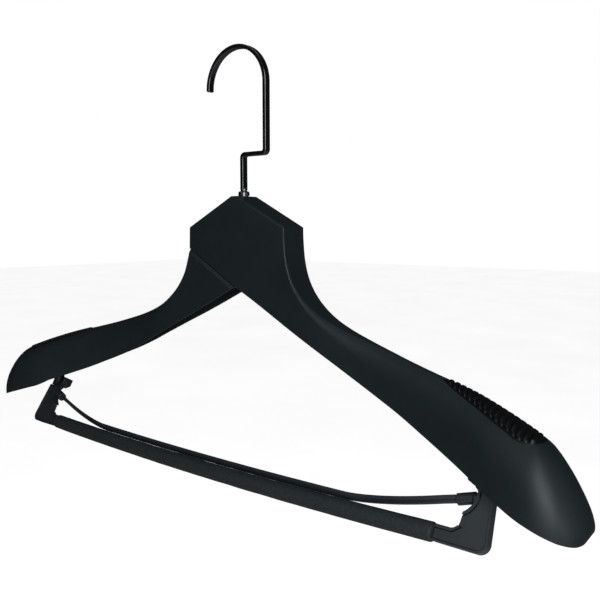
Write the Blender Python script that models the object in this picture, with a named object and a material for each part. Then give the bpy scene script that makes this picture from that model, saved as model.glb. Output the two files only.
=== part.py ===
"""Wide-shoulder suit hanger with a swivel hook, ribbed shoulder pads and a clamping trouser bar.

Units are metres. X runs along the hanger, the arms bow forward to -Y, +Z is up.
The origin is the rail seat: the point of the hook's inner face straight above its stem.
Pieces of the hanger are modelled about the head, whose side corners lie at z = 0.
"""

import math
from collections import namedtuple

import bmesh
import bpy
from mathutils import Matrix, Vector

# Clearances
GAP = 0.0003  # between fixed pieces that touch
RUNNING_GAP = 0.0001  # round a pin that turns
CUT = 0.002  # how far a cutter passes through the face it opens

# Head: a flat hexagon with the notch between the arms under it
HEAD_HALF_WIDTH = 0.0408
HEAD_THICKNESS = 0.020
HEAD_RISE = 0.0196
HEAD_TOP_HALF_WIDTH = 0.0025
HEAD_EDGE_RADIUS = 0.0012
NOTCH_DROP = 0.0375
JOINT_DROP = 0.0133  # where the joint line meets the head's side, under the corner
JOINT_GROOVE = 0.0012
JOINT_CHAMFER = 0.0011
SIDE_FLARE = 0.00045  # how far the head's side has moved out at the joint
CORNER_LOW_SHARE = 0.6  # where the edge under the corner lies, from the notch to the neck
JOINT_CHAMFER_RUN = 0.0024
TOP_LOW_SHARE = 0.1  # where the edge under the flat top lies, from the notch to the corner
JOINT_FAN = 1.08  # how much faster the joint's sections move at the notch than at the side

# Arms: hollow shells, open underneath
ARM_REACH = 0.2282
ARM_DROP = 0.1342
ARM_BOW = 0.035
SHOULDER_HALF_DEPTH = 0.0213
NECK_HALF_DEPTH = 0.0083
RIM_TILT = 0.0063  # how much higher the back lower edge lies than the front one
RIM_TILT_FADE = 18  # the power with which that ends at the tip
WALL = 0.0024
CREST_WALL = 0.0028
HOLLOW_EDGE_RADIUS = 0.0004
RIB_THICKNESS = 0.0020
RIB_SHARES = (0.403, 0.561, 0.894)  # where the inner ribs lie along the arm's reach
RIB_SET_BACK = 0.005  # above the arm's lower edge

# Hook: a flat strip bent the easy way, on a round stem
STRIP_THICKNESS = 0.0026
STRIP_WIDTH = 0.0046
STRIP_EDGE = 0.0005
TIP_EDGE = 0.0004
ARCH_RADIUS = 0.0242
ARCH_OFFSET = -0.0051
ARCH_HEIGHT = 0.0891
TIP_DROP = 0.0005
JOG_HEIGHT = 0.0460
JOG_BEND_RADIUS = 0.0023
STEM_RADIUS = 0.0020
STEM_LENGTH = 0.0235
STEM_ROOT = 0.0012  # stem inside the foot of the strip

# Ferrule, washer and nut that hold the stem in the head
FERRULE_WALL = 0.0008
FLANGE_RADIUS = 0.0036
FLANGE_HEIGHT = 0.0030
FLANGE_BROW = 0.0013  # height of its domed top
STEM_BOSS_WALL = 0.0030
STEM_BOSS_FOOT = 0.0052
WASHER_RADIUS = 0.0046
WASHER_THICKNESS = 0.0010
NUT_HALF_FLATS = 0.0035
NUT_HEIGHT = 0.0032

# Tongue of the left arm, screwed inside the head
TONGUE_THICKNESS = 0.0040
TONGUE_ROOT = 0.0035  # how far it runs into the left arm
TONGUE_SIDE_HEIGHT = 0.0085  # of its outer edge
TONGUE_SLOPE_RUN = 0.0110
TONGUE_TOP = -0.0060
TONGUE_TOP_REACH = 0.0080
TONGUE_RIGHT = 0.0250
TONGUE_FOOT = -0.0340
TONGUE_INNER_FOOT = 0.0030
TONGUE_CORNER = 0.0100  # how far its right corners are cut off
TONGUE_BOSS_RADIUS = 0.0040
TONGUE_BOSSES = ((-0.020, -0.0135), (0.017, -0.0205))
SCREW_RADIUS = 0.0015
SCREW_LENGTH = 0.0110
SCREW_HEAD_RADIUS = 0.0029
SCREW_HEAD_DEPTH = 0.0016
SCREW_SLOT_REACH = 0.0018
SCREW_SLOT_WIDTH = 0.0007
SCREW_SLOT_DEPTH = 0.0007

# Shoulder pads, set in a recess along the crest
PAD_TO_TIP = 0.0224
PAD_LENGTH = 0.0570
PAD_END_RUN = 0.0113  # from its widest place to its end
PAD_END = ARM_REACH - PAD_TO_TIP
PAD_WIDEST = PAD_END - PAD_END_RUN
PAD_START = PAD_END - PAD_LENGTH
PAD_HALF_WIDTH = 0.0106
PAD_TAPER = 0.42
PAD_DEPTH = 0.0016
PAD_FACE = -0.0004
PAD_MARGIN = 0.0020
PAD_END_SHARES = (0.0, 0.12, 0.45)  # where the rings of its round ends lie
PAD_POINT_SHARE = 0.05  # how wide its very ends are
RIB_COUNT = 16
RIB_HEIGHT = 0.0011
RIB_FULLNESS = 1.35  # over 1 it flattens the ribs' tops

# Trouser bar frame, leaning forward from the hubs under the shoulders
FRAME_LEAN = math.radians(31)
MOUNT_TO_TIP = 0.0500
MOUNT_X = ARM_REACH - MOUNT_TO_TIP
PIVOT_FORWARD = 0.01035  # of the middle of the arm's section at the mount
PIVOT_BELOW = 0.0108  # under the arm's lower edge there
BAR_DROP = 0.0196  # bar axis under the frame's origin, at the brackets
BAR_SAG = 0.0028
CORE_RADIUS = 0.0012
FOOT_IN = 0.0194  # from the mounts in to the ends of the brackets' feet
FOOT_END = MOUNT_X - FOOT_IN
SLEEVE_RADIUS = 0.0049
SLEEVE_HALF_LENGTH = FOOT_END - GAP
SLEEVE_END_RADIUS = 0.0018

# Brackets: plates with a raised rim
BRACKET_OUTER = MOUNT_X + 0.0077
BRACKET_TOP_OUTER = MOUNT_X + 0.0054
BRACKET_NECK = MOUNT_X - 0.0024
BRACKET_SPUR = MOUNT_X - 0.0074
BRACKET_TOP = 0.0060
BRACKET_TOP_INNER = MOUNT_X - 0.0044
NECK_HEIGHT = 0.0042
SPUR_DROP = 0.0070
FOOT_HEIGHT = 0.0081
BRACKET_CORNER_RADIUS = 0.0053
BRACKET_HOLLOW_RADIUS = 0.0127
BRACKET_FILLET_RADIUS = 0.0040
BRACKET_THICKNESS = 0.0060
RIM_HEIGHT = 0.0010
RIM_WIDTH = 0.0009
INNER_RIM_WIDTH = 0.0016
HOLLOW_LEAN = math.radians(37)  # of the way in from the hollow to the field
HOLLOW_TOP = 0.0012  # where the hollow over the spur meets the neck
FILLET_END = math.radians(8)  # how far short of upright the fillet over the foot ends
FILLET_INSET = 0.0004
FIELD_MOUTH = 0.0030  # how far past the spur's tip the sunk field runs out
FIELD_STEP = 0.0006
FIELD_FOOT_RISE = 0.0014
FIELD_FOOT_STEP = 0.0012
CORE_SOCKET_DEPTH = 0.0120

# Mounts that carry the brackets: a lug in the leaning plane on an upright post
LUG_INNER = MOUNT_X - 0.0092
LUG_OUTER = MOUNT_X + 0.0042
LUG_FRONT = -0.0030
LUG_BACK = 0.0050
LUG_HEIGHT = 0.0075
LUG_CHAMFER = 0.0022
LUG_EDGE = 0.0006
POST_RADIUS = 0.0039
POST_SET_BACK = 0.0050  # from the pivot axis
POST_LENGTH = 0.0120  # inside the arm
POST_BOSS_WALL = 0.0019
POST_BOSS_SET_BACK = 0.0030
TENON_HALF_WIDTH = 0.0016
TENON_HALF_THICKNESS = 0.0013
TENON_LENGTH = 0.0060
MOUNT_SCREW_RADIUS = 0.0010
MOUNT_SCREW_DEPTH = 0.0070
MOUNT_SCREW_HEAD_RADIUS = 0.0024
MOUNT_SCREW_HEAD_HEIGHT = 0.0016

# Clamp rod, a bowed bail over the bar
CLAMP_RISE = 0.0010  # its pivot axis over the frame's origin
ROD_HALF_WIDTH = 0.0029
ROD_HALF_THICKNESS = 0.0011
ROD_REST_GAP = 0.0004  # between the rod and the sleeve
ROD_TWIST = math.radians(58)  # of its wide side, from upright towards the front
ROD_REST_REACH = 0.105  # along which it lies on the sleeve, to each side
ROD_RISE_POWER = 1.5  # how it then bends up to its pivots
ROD_TONGUE_SHARE = 0.66
CAP_RADIUS = 0.0030
CAP_SIDE_GAP = 0.0020  # from a cap to the neck of its bracket
CAP_OUTER = BRACKET_NECK - CAP_SIDE_GAP
CAP_LENGTH = 0.0085
CAP_EDGE = 0.0004
CAP_TILT = math.radians(18)
PIN_RADIUS = 0.0010
PIN_LENGTH = 0.0095
PIN_IN_CAP = 0.0025
PIN_BOSS_WALL = 0.0017
PIN_BOSS_SIDE_GAP = 0.0004  # from its inner end to the cap

# Facets
FINE = 32
COARSE = 20
SMALL = 12
CREST_STEPS = 7
PAD_COLUMNS = 6
CORNER_STEPS = 6
ARCH_STEPS = 28
BEND_STEPS = 4
BAR_STEPS = 24
ROD_STEPS = 44
ROD_SIDES = 14
SLEEVE_SIDES = 24
SHARP_ANGLE = math.radians(32)

# Colours: linear RGB
SOFT_TOUCH = (0.0105, 0.0135, 0.0145)
BLACK_PLASTIC = (0.020, 0.023, 0.026)
BLACK_RUBBER = (0.008, 0.009, 0.010)
FOAM = (0.017, 0.021, 0.024)
BLACK_NICKEL = (0.020, 0.021, 0.022)
STEEL = (0.55, 0.56, 0.57)

Section = namedtuple("Section", "top low centre half crest_width crest_height tilt")

# Sections of an arm beyond the head corner. top and low are points of its outline seen from
# the front, as shares of ARM_REACH and ARM_DROP. bow is a share of ARM_BOW. fullness runs
# from 0 at the neck to 1 at the shoulder. softness is how much of the half depth the crest
# rounds, and arch how much of the height.
Station = namedtuple("Station", "top_x top_z low_x low_z bow fullness softness arch")
NECK_STATIONS = (
    Station(0.1805, 0.0671, 0.0745, 0.3450, 0.000, 0.13, 0.12, 0.03),
    Station(0.1867, 0.1490, 0.1139, 0.3800, 0.006, 0.13, 0.14, 0.04),
    Station(0.2016, 0.2236, 0.1577, 0.4188, 0.023, 0.12, 0.20, 0.06),
    Station(0.2279, 0.2907, 0.2060, 0.4612, 0.046, 0.10, 0.28, 0.10),
    Station(0.2629, 0.3465, 0.2563, 0.5037, 0.069, 0.08, 0.38, 0.17),
    Station(0.3068, 0.3949, 0.3068, 0.5469, 0.083, 0.05, 0.52, 0.27),
    Station(0.3593, 0.4337, 0.3593, 0.5917, 0.094, 0.02, 0.70, 0.40),
)
SHOULDER_STATIONS = (
    Station(0.4163, 0.4665, 0.4163, 0.6409, 0.103, 0.00, 0.86, 0.52),
    Station(0.4820, 0.4992, 0.4820, 0.6922, 0.137, 0.02, 1.00, 0.64),
    Station(0.5478, 0.5305, 0.5478, 0.7385, 0.200, 0.08, 1.00, 0.73),
    Station(0.6135, 0.5588, 0.6135, 0.7839, 0.271, 0.24, 1.00, 0.80),
    Station(0.6792, 0.5857, 0.6792, 0.8256, 0.343, 0.48, 1.00, 0.84),
    Station(0.7450, 0.6162, 0.7450, 0.8659, 0.440, 0.72, 1.00, 0.87),
    Station(0.8107, 0.6520, 0.8107, 0.9076, 0.571, 0.92, 1.00, 0.89),
    Station(0.8676, 0.6871, 0.8676, 0.9412, 0.686, 1.01, 1.00, 0.90),
    Station(0.9071, 0.7168, 0.9071, 0.9605, 0.760, 0.98, 1.00, 0.90),
)
TIP_STATIONS = (
    Station(0.9400, 0.7765, 0.9400, 0.9784, 0.800, 0.84, 1.00, 0.90),
    Station(0.9663, 0.8435, 0.9632, 0.9925, 0.809, 0.64, 1.00, 0.90),
    Station(0.9851, 0.9031, 0.9842, 1.0000, 0.811, 0.36, 1.00, 0.88),
    Station(0.9965, 0.9493, 0.9947, 0.9985, 0.811, 0.01, 1.00, 0.80),
    Station(1.0000, 0.9687, 0.9987, 0.9881, 0.811, -0.32, 1.00, 0.70),
)


# Placing and joining


def material(name, colour, roughness, metallic=0.0):
    made = bpy.data.materials.new(name)
    made.use_nodes = True
    shader = made.node_tree.nodes["Principled BSDF"]
    shader.inputs["Base Color"].default_value = (*colour, 1.0)
    shader.inputs["Roughness"].default_value = roughness
    shader.inputs["Metallic"].default_value = metallic
    made.diffuse_color = (*colour, 1.0)
    return made


def empty(name, parent=None, location=(0, 0, 0), rotation=(0, 0, 0)):
    made = bpy.data.objects.new(name, None)
    bpy.context.scene.collection.objects.link(made)
    made.parent = parent
    made.location = location
    made.rotation_euler = rotation
    return made


def piece(name, bm, finish=None, parent=None, location=(0, 0, 0), rotation=(0, 0, 0)):
    """Turns a bmesh into a named object, and frees it."""
    bmesh.ops.remove_doubles(bm, verts=bm.verts, dist=1e-6)
    bmesh.ops.recalc_face_normals(bm, faces=bm.faces)
    mesh = bpy.data.meshes.new(name)
    bm.to_mesh(mesh)
    bm.free()
    made = bpy.data.objects.new(name, mesh)
    bpy.context.scene.collection.objects.link(made)
    made.parent = parent
    made.location = location
    made.rotation_euler = rotation
    if finish:
        mesh.materials.append(finish)
    soften(made)
    return made


def soften(made):
    made.data.shade_smooth()
    made.data.set_sharp_from_angle(angle=SHARP_ANGLE)


def combine(made, other, operation):
    """Applies a Boolean of another object to this one, and removes the other."""
    bpy.context.view_layer.update()
    modifier = made.modifiers.new(operation.title(), "BOOLEAN")
    modifier.operation = operation
    modifier.object = other
    modifier.solver = "EXACT"
    graph = bpy.context.evaluated_depsgraph_get()
    mesh = bpy.data.meshes.new_from_object(made.evaluated_get(graph))
    made.modifiers.clear()
    old = made.data
    made.data = mesh
    mesh.name = made.name
    bpy.data.meshes.remove(old)
    used = other.data
    bpy.data.objects.remove(other)
    bpy.data.meshes.remove(used)
    soften(made)
    return made


def cut(made, other):
    return combine(made, other, "DIFFERENCE")


def join(made, other):
    return combine(made, other, "UNION")


# Shapes


def extruded(rings):
    """A closed body: the first ring's face is extruded from ring to ring."""
    bm = bmesh.new()
    face = bm.faces.new([bm.verts.new(point) for point in rings[0]])
    for ring in rings[1:]:
        made = bmesh.ops.extrude_face_region(bm, geom=[face, *face.edges, *face.verts])
        face = next(item for item in made["geom"] if isinstance(item, bmesh.types.BMFace))
        for vert, point in zip(face.verts, ring):
            vert.co = point
    return bm


def prism(outline, low_y, high_y):
    """A flat outline in X and Z, extruded along Y."""
    return extruded([[(x, y, z) for x, z in outline] for y in (low_y, high_y)])


def block(low, high):
    outline = ((low[0], low[2]), (high[0], low[2]), (high[0], high[2]), (low[0], high[2]))
    return prism(outline, low[1], high[1])


def turned(profile, steps=COARSE):
    """A profile of (radius, height) points, from axis to axis or closed, spun round Z."""
    bm = bmesh.new()
    on_axis = profile[0][0] == 0
    verts = [bm.verts.new((radius, 0, height)) for radius, height in profile]
    pairs = list(zip(verts, verts[1:]))
    if not on_axis:
        pairs.append((verts[-1], verts[0]))
    edges = [bm.edges.new(pair) for pair in pairs]
    bmesh.ops.spin(
        bm,
        geom=verts + edges,
        cent=(0, 0, 0),
        axis=(0, 0, 1),
        dvec=(0, 0, 0),
        angle=math.tau,
        steps=steps,
        use_merge=True,
    )
    bmesh.ops.remove_doubles(bm, verts=bm.verts, dist=1e-6)
    return bm


def cylinder(radius, low, high, steps=COARSE):
    return turned(((0, low), (radius, low), (radius, high), (0, high)), steps)


def tube(inner, outer, low, high, steps=COARSE):
    return turned(((inner, low), (outer, low), (outer, high), (inner, high)), steps)


def along_x(body, sign):
    """Lays a body that was turned round Z along X, its top towards the given side."""
    bmesh.ops.rotate(body, matrix=Matrix.Rotation(math.pi / 2, 3, "Y"), verts=body.verts)
    bmesh.ops.scale(body, vec=(sign, 1, 1), verts=body.verts)
    return body


def hexagon(half_flats, inner, height):
    """A nut standing on z = 0, with a round hole."""
    corner = half_flats / math.cos(math.pi / 6)
    bm = bmesh.new()
    bmesh.ops.create_cone(
        bm, cap_ends=True, segments=6, radius1=corner, radius2=corner, depth=height
    )
    bmesh.ops.translate(bm, verts=bm.verts, vec=(0, 0, height / 2))
    made = piece("nut_blank", bm)
    hole = piece("nut_hole", cylinder(inner, -CUT, height + CUT))
    return cut(made, hole)


def arc(centre, radius, start, end, steps):
    """Points of an arc from one angle to another, both ends included."""
    angles = (start + (end - start) * step / steps for step in range(steps + 1))
    return [(centre[0] + radius * math.cos(a), centre[1] + radius * math.sin(a)) for a in angles]


def lerp(a, b, share):
    return a + (b - a) * share


# Arms and head


def section(top, low, centre, half, crest_width, crest_height):
    share = max(low[0], 0.0) / ARM_REACH
    tilt = RIM_TILT * share * max(1 - share**RIM_TILT_FADE, 0.0)
    return Section(Vector(top), Vector(low), centre, half, crest_width, crest_height, tilt)


def head_top(x):
    """Height of the head's outline over x."""
    slope = HEAD_RISE / (HEAD_HALF_WIDTH - HEAD_TOP_HALF_WIDTH)
    return HEAD_RISE - slope * max(abs(x) - HEAD_TOP_HALF_WIDTH, 0.0)


def joint_height(x):
    """Height of the joint line over x, from the notch to the head's left side."""
    return lerp(-NOTCH_DROP, -JOINT_DROP, abs(x) / (HEAD_HALF_WIDTH + SIDE_FLARE))


def station_section(station):
    top = (station.top_x * ARM_REACH, -station.top_z * ARM_DROP)
    low = (station.low_x * ARM_REACH, -station.low_z * ARM_DROP)
    height = math.dist(top, low)
    half = lerp(NECK_HALF_DEPTH, SHOULDER_HALF_DEPTH, station.fullness)
    centre = -station.bow * ARM_BOW
    return section(top, low, centre, half, station.softness * half, station.arch * height)


def arm_sections():
    stations = NECK_STATIONS + SHOULDER_STATIONS + TIP_STATIONS
    return [station_section(station) for station in stations]


def head_section(top, low):
    half = HEAD_THICKNESS / 2
    return section(top, low, 0.0, half, HEAD_EDGE_RADIUS, HEAD_EDGE_RADIUS)


def corner_low():
    """Lower edge under the head's corner, between the notch and the first neck station."""
    first = station_section(NECK_STATIONS[0]).low
    return Vector((0.0, -NOTCH_DROP)).lerp(first, CORNER_LOW_SHARE)


def right_sections():
    """The head from its left side to its right corner, and then the right arm."""
    side = -HEAD_HALF_WIDTH
    made = [head_section((side, 0.0), (side - SIDE_FLARE, -JOINT_DROP))]
    for x in (side * 2 / 3, side / 3):
        made.append(head_section((x, head_top(x)), (x, joint_height(x))))
    flat = HEAD_TOP_HALF_WIDTH
    corner = corner_low()
    notch = Vector((0.0, -NOTCH_DROP))
    middle = HEAD_HALF_WIDTH / 2
    made.append(head_section((-flat, HEAD_RISE), notch))
    made.append(head_section((flat, HEAD_RISE), notch.lerp(corner, TOP_LOW_SHARE)))
    made.append(head_section((middle, head_top(middle)), notch.lerp(corner, 0.5)))
    made.append(head_section((HEAD_HALF_WIDTH, 0.0), corner))
    return made + arm_sections()


def left_sections():
    """The left arm, mirrored to +X: its joint face, the chamfer behind it and the arm."""
    arm = arm_sections()
    side = Vector((HEAD_HALF_WIDTH + SIDE_FLARE, -JOINT_DROP))
    notch = Vector((0.0, -NOTCH_DROP))
    down_side = (arm[1].top - side).normalized()
    down_edge = (arm[1].low - notch).normalized()
    half = HEAD_THICKNESS / 2

    def across(distance, inset):
        return section(
            side + down_side * distance,
            notch + down_edge * distance * JOINT_FAN,
            0.0,
            half - inset,
            HEAD_EDGE_RADIUS,
            HEAD_EDGE_RADIUS,
        )

    face = across(JOINT_GROOVE, JOINT_CHAMFER)
    shoulder = across(JOINT_GROOVE + JOINT_CHAMFER_RUN, 0.0)
    return [face, shoulder] + arm[1:]


def inner(outer, below):
    """The section of the hollow inside one, reaching below its lower edge."""
    up = (outer.top - outer.low).normalized()
    soft = max(outer.crest_width - WALL, HOLLOW_EDGE_RADIUS)
    arch = max(outer.crest_height - WALL, HOLLOW_EDGE_RADIUS)
    top = outer.top - up * CREST_WALL
    low = outer.low - up * below
    return Section(top, low, outer.centre, outer.half - WALL, soft, arch, outer.tilt)


def section_ring(shape, sign=1):
    """Points round a section, from the front foot over the crest to the back foot."""
    height = (shape.top - shape.low).length
    up = (shape.top - shape.low).normalized()
    face = height - shape.crest_height
    front = [(-shape.half, face * share) for share in (0.0, 0.5)]
    flat = shape.half - shape.crest_width
    for step in range(CREST_STEPS + 1):
        angle = math.pi / 2 * step / CREST_STEPS
        across = flat + shape.crest_width * math.cos(angle)
        front.append((-across, face + shape.crest_height * math.sin(angle)))
    back = [(-across, rise) for across, rise in reversed(front)]
    points = []
    for across, rise in front + back:
        spot = shape.low + up * rise
        lift = shape.tilt * (0.5 + across / shape.half / 2) * (1 - rise / height)
        points.append((sign * spot.x, shape.centre + across, spot.y + lift))
    return points


def between(near, far, share):
    return Section(
        near.top.lerp(far.top, share),
        near.low.lerp(far.low, share),
        lerp(near.centre, far.centre, share),
        lerp(near.half, far.half, share),
        lerp(near.crest_width, far.crest_width, share),
        lerp(near.crest_height, far.crest_height, share),
        lerp(near.tilt, far.tilt, share),
    )


def section_at(x):
    """The arm's section over x, between its shoulder stations."""
    made = arm_sections()
    for near, far in zip(made, made[1:]):
        if near.top.x <= x <= far.top.x:
            return between(near, far, (x - near.top.x) / (far.top.x - near.top.x))
    raise ValueError("x lies outside the arm")


def arm_hollow(sections, sign, parent):
    """The cutter for an arm's hollow, with its ribs and the post's boss left standing."""
    rings = [section_ring(inner(shape, CUT * 3), sign) for shape in sections]
    hollow = piece("hollow", extruded(rings), parent=parent)
    for share in RIB_SHARES:
        place = share * ARM_REACH
        shape = section_at(place)
        low = (place - RIB_THICKNESS / 2, -2 * ARM_BOW, shape.low.y + RIB_SET_BACK)
        high = (place + RIB_THICKNESS / 2, 2 * ARM_BOW, 0.0)
        rib = block(low, high)
        bmesh.ops.scale(rib, vec=(sign, 1, 1), verts=rib.verts)
        cut(hollow, piece("rib", rib, parent=parent))
    boss = cylinder(POST_RADIUS + GAP + POST_BOSS_WALL, boss_foot(), 0.0)
    place = (sign * MOUNT_X, post_y(), 0)
    cut(hollow, piece("boss", boss, parent=parent, location=place))
    return hollow


def short_of_tip(sections):
    """The sections that the hollow follows: the tip stays solid."""
    return sections[:-3] + [between(sections[-3], sections[-2], 0.5)]


def boss_foot():
    return section_at(MOUNT_X).low.y + POST_BOSS_SET_BACK


def pivot_place():
    """The origin of the bar's frame: under and in front of the arms at the mounts."""
    shape = section_at(MOUNT_X)
    return (0, shape.centre - PIVOT_FORWARD, shape.low.y - PIVOT_BELOW)


def post_y():
    return pivot_place()[1] + POST_SET_BACK


def post_hole(sign, parent):
    hole = cylinder(POST_RADIUS + GAP, boss_foot() - CUT, boss_foot() + POST_LENGTH)
    return piece("hole", hole, parent=parent, location=(sign * MOUNT_X, post_y(), 0))


def head_hollow(parent):
    """The right arm's hollow runs on through the head, round the boss for the stem."""
    side = HEAD_HALF_WIDTH - WALL
    shapes = [head_section((-side, head_top(side)), (-side, joint_height(side)))]
    shapes += short_of_tip(right_sections()[1:])
    hollow = arm_hollow(shapes, 1, parent)
    boss = cylinder(stem_bore() + STEM_BOSS_WALL, STEM_BOSS_FOOT, HEAD_RISE + CUT)
    return cut(hollow, piece("boss", boss, parent=parent))


def stem_bore():
    return STEM_RADIUS + RUNNING_GAP + FERRULE_WALL + GAP


def screw_hole(place, parent):
    """A hole from the head's back face, countersunk, through to the tongue's boss."""
    back = HEAD_THICKNESS / 2
    reach = SCREW_RADIUS + GAP
    mouth = SCREW_HEAD_RADIUS + GAP
    profile = (
        (0, -SCREW_LENGTH - CUT),
        (reach, -SCREW_LENGTH - CUT),
        (reach, -SCREW_HEAD_DEPTH),
        (mouth, 0),
        (mouth, CUT),
        (0, CUT),
    )
    location = (place[0], back, place[1])
    rotation = (-math.pi / 2, 0, 0)
    return piece("hole", turned(profile), parent=parent, location=location, rotation=rotation)


def right_arm(finish, parent):
    rings = [section_ring(shape) for shape in right_sections()]
    made = piece("right_arm", extruded(rings), finish, parent)
    cut(made, pad_recess(1, parent))
    cut(made, post_hole(1, parent))
    cut(made, piece("bore", cylinder(stem_bore(), -CUT, HEAD_RISE + CUT), parent=parent))
    for place in TONGUE_BOSSES:
        cut(made, screw_hole(place, parent))
    return cut(made, head_hollow(parent))


def tongue_outline():
    """The tongue from the left arm's joint face up into the head, seen from the front."""
    side = -HEAD_HALF_WIDTH + WALL + 5 * GAP
    root = joint_height(side) - TONGUE_ROOT
    middle = -TONGUE_INNER_FOOT
    return (
        (side, root),
        (side, root + TONGUE_SIDE_HEIGHT),
        (side + TONGUE_SLOPE_RUN, TONGUE_TOP),
        (TONGUE_TOP_REACH, TONGUE_TOP),
        (TONGUE_RIGHT, TONGUE_TOP - TONGUE_CORNER / 2),
        (TONGUE_RIGHT, TONGUE_FOOT + TONGUE_CORNER / 2),
        (TONGUE_RIGHT - TONGUE_CORNER, TONGUE_FOOT),
        (TONGUE_INNER_FOOT, TONGUE_FOOT),
        (middle, joint_height(middle) - TONGUE_ROOT),
    )


def tongue(parent):
    half = TONGUE_THICKNESS / 2
    made = piece("tongue", prism(tongue_outline(), -half, half), parent=parent)
    reach = HEAD_THICKNESS / 2 - WALL - GAP
    turn = (math.pi / 2, 0, 0)
    for place in TONGUE_BOSSES:
        boss = cylinder(TONGUE_BOSS_RADIUS, -reach, reach)
        location = (place[0], 0, place[1])
        join(made, piece("boss", boss, parent=parent, location=location, rotation=turn))
        cut(made, screw_hole(place, parent))
    return made


def left_arm(finish, parent):
    sections = left_sections()
    rings = [section_ring(shape, -1) for shape in sections]
    made = piece("left_arm", extruded(rings), finish, parent)
    join(made, tongue(parent))
    cut(made, pad_recess(-1, parent))
    cut(made, post_hole(-1, parent))
    return cut(made, arm_hollow(short_of_tip(sections[1:]), -1, parent))


def head_screw(name, place, finish, parent):
    mouth = SCREW_HEAD_RADIUS
    profile = (
        (0, -SCREW_LENGTH),
        (SCREW_RADIUS, -SCREW_LENGTH),
        (SCREW_RADIUS, -SCREW_HEAD_DEPTH),
        (mouth, -GAP),
        (mouth, 0),
        (0, 0),
    )
    location = (place[0], HEAD_THICKNESS / 2, place[1])
    rotation = (-math.pi / 2, 0, 0)
    made = piece(name, turned(profile), finish, parent, location, rotation)
    for turn in (0, math.pi / 2):
        half = SCREW_SLOT_WIDTH / 2
        low = (-SCREW_SLOT_REACH, -half, -SCREW_SLOT_DEPTH)
        slot = block(low, (SCREW_SLOT_REACH, half, CUT))
        bmesh.ops.rotate(slot, matrix=Matrix.Rotation(turn, 3, "Z"), verts=slot.verts)
        cutter = piece("slot", slot, parent=parent, location=location, rotation=rotation)
        cut(made, cutter)
    return made


# Shoulder pads


def pad_width(x, grow):
    """Half width of the pad over x: a leaf that is widest near the shoulder's end."""
    full = PAD_HALF_WIDTH + grow
    if x < PAD_WIDEST:
        share = (x - PAD_START + grow) / (PAD_WIDEST - PAD_START + grow)
        return full * max(share, 0.0) ** PAD_TAPER
    share = (x - PAD_WIDEST) / (PAD_END - PAD_WIDEST + grow)
    return full * math.sqrt(max(1 - share**2, 0.0))


def crest_point(shape, across, lift):
    """A point over the crest, measured across it and out of its surface."""
    angle = math.asin(max(-1.0, min(1.0, across / shape.crest_width)))
    rise = shape.crest_height * math.cos(angle)
    normal = Vector((0, math.sin(angle) / shape.crest_width, math.cos(angle) / shape.crest_height))
    normal.normalize()
    base = shape.top.y - shape.crest_height
    return Vector((0, shape.centre + across, base + rise)) + normal * lift


def pad_places(grow):
    """Where the rings of a pad lie: close at its round ends, and four to a rib between them."""
    start = PAD_START - grow
    end = PAD_END + grow
    first = PAD_START + PAD_MARGIN
    last = PAD_END - PAD_MARGIN
    steps = RIB_COUNT * (1 if grow else 4)
    middle = [lerp(first, last, step / steps) for step in range(steps + 1)]
    nose = [lerp(start, first, share) for share in PAD_END_SHARES]
    tail = [lerp(end, last, share) for share in reversed(PAD_END_SHARES)]
    return nose + middle + tail


def pad_body(sign, grow, floor, face):
    """A band that follows the crest. face gives the height of its outer side over x."""
    rings = []
    for x in pad_places(grow):
        shape = section_at(x)
        width = max(pad_width(x, grow), PAD_HALF_WIDTH * PAD_POINT_SHARE)
        columns = [width * (2 * index / PAD_COLUMNS - 1) for index in range(PAD_COLUMNS + 1)]
        outer = [crest_point(shape, across, face(x)) for across in columns]
        under = [crest_point(shape, across, floor) for across in reversed(columns)]
        rings.append([(sign * x, point.y, point.z) for point in outer + under])
    return extruded(rings)


def rib_face(x):
    """Height of the ribbed side over x: rounded ribs between the plain ends of the pad."""
    start = PAD_START + PAD_MARGIN
    share = (x - start) / (PAD_END - PAD_MARGIN - start)
    if not 0.0 < share < 1.0:
        return PAD_FACE
    wave = 0.5 - 0.5 * math.cos(math.tau * share * RIB_COUNT)
    return PAD_FACE + RIB_HEIGHT * min(1.0, RIB_FULLNESS * wave)


def pad_recess(sign, parent):
    depth = -PAD_DEPTH - GAP
    return piece("recess", pad_body(sign, GAP, depth, lambda x: RIB_HEIGHT * 2), parent=parent)


def shoulder_pad(name, sign, finish, parent):
    return piece(name, pad_body(sign, 0.0, -PAD_DEPTH, rib_face), finish, parent)


# Hook


def seat_height():
    """The hook's inner face straight above the stem, over the head's corners."""
    inner_radius = ARCH_RADIUS - STRIP_THICKNESS / 2
    return ARCH_HEIGHT + math.sqrt(inner_radius**2 - ARCH_OFFSET**2)


def strip_foot():
    return HEAD_RISE + 2 * GAP + FLANGE_HEIGHT


def hook_path():
    """Centre line of the strip in X and Z, from its foot to its tip."""
    limb = ARCH_OFFSET + ARCH_RADIUS
    bend = JOG_BEND_RADIUS
    points = [(0.0, strip_foot())]
    points += arc((bend, JOG_HEIGHT - bend), bend, math.pi, math.pi / 2, BEND_STEPS)
    points += arc((limb - bend, JOG_HEIGHT + bend), bend, -math.pi / 2, 0, BEND_STEPS)
    points += arc((ARCH_OFFSET, ARCH_HEIGHT), ARCH_RADIUS, 0, math.pi, ARCH_STEPS)
    points.append((ARCH_OFFSET - ARCH_RADIUS, ARCH_HEIGHT - TIP_DROP))
    return [Vector(point) for point in points]


def rounded_rectangle(half_a, half_b, radius):
    """Corner points of a rectangle with rounded corners."""
    points = []
    for quarter, (sign_a, sign_b) in enumerate(((1, 1), (-1, 1), (-1, -1), (1, -1))):
        centre = (sign_a * (half_a - radius), sign_b * (half_b - radius))
        start = quarter * math.pi / 2
        points += arc(centre, radius, start, start + math.pi / 2, 2)
    return points


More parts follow.
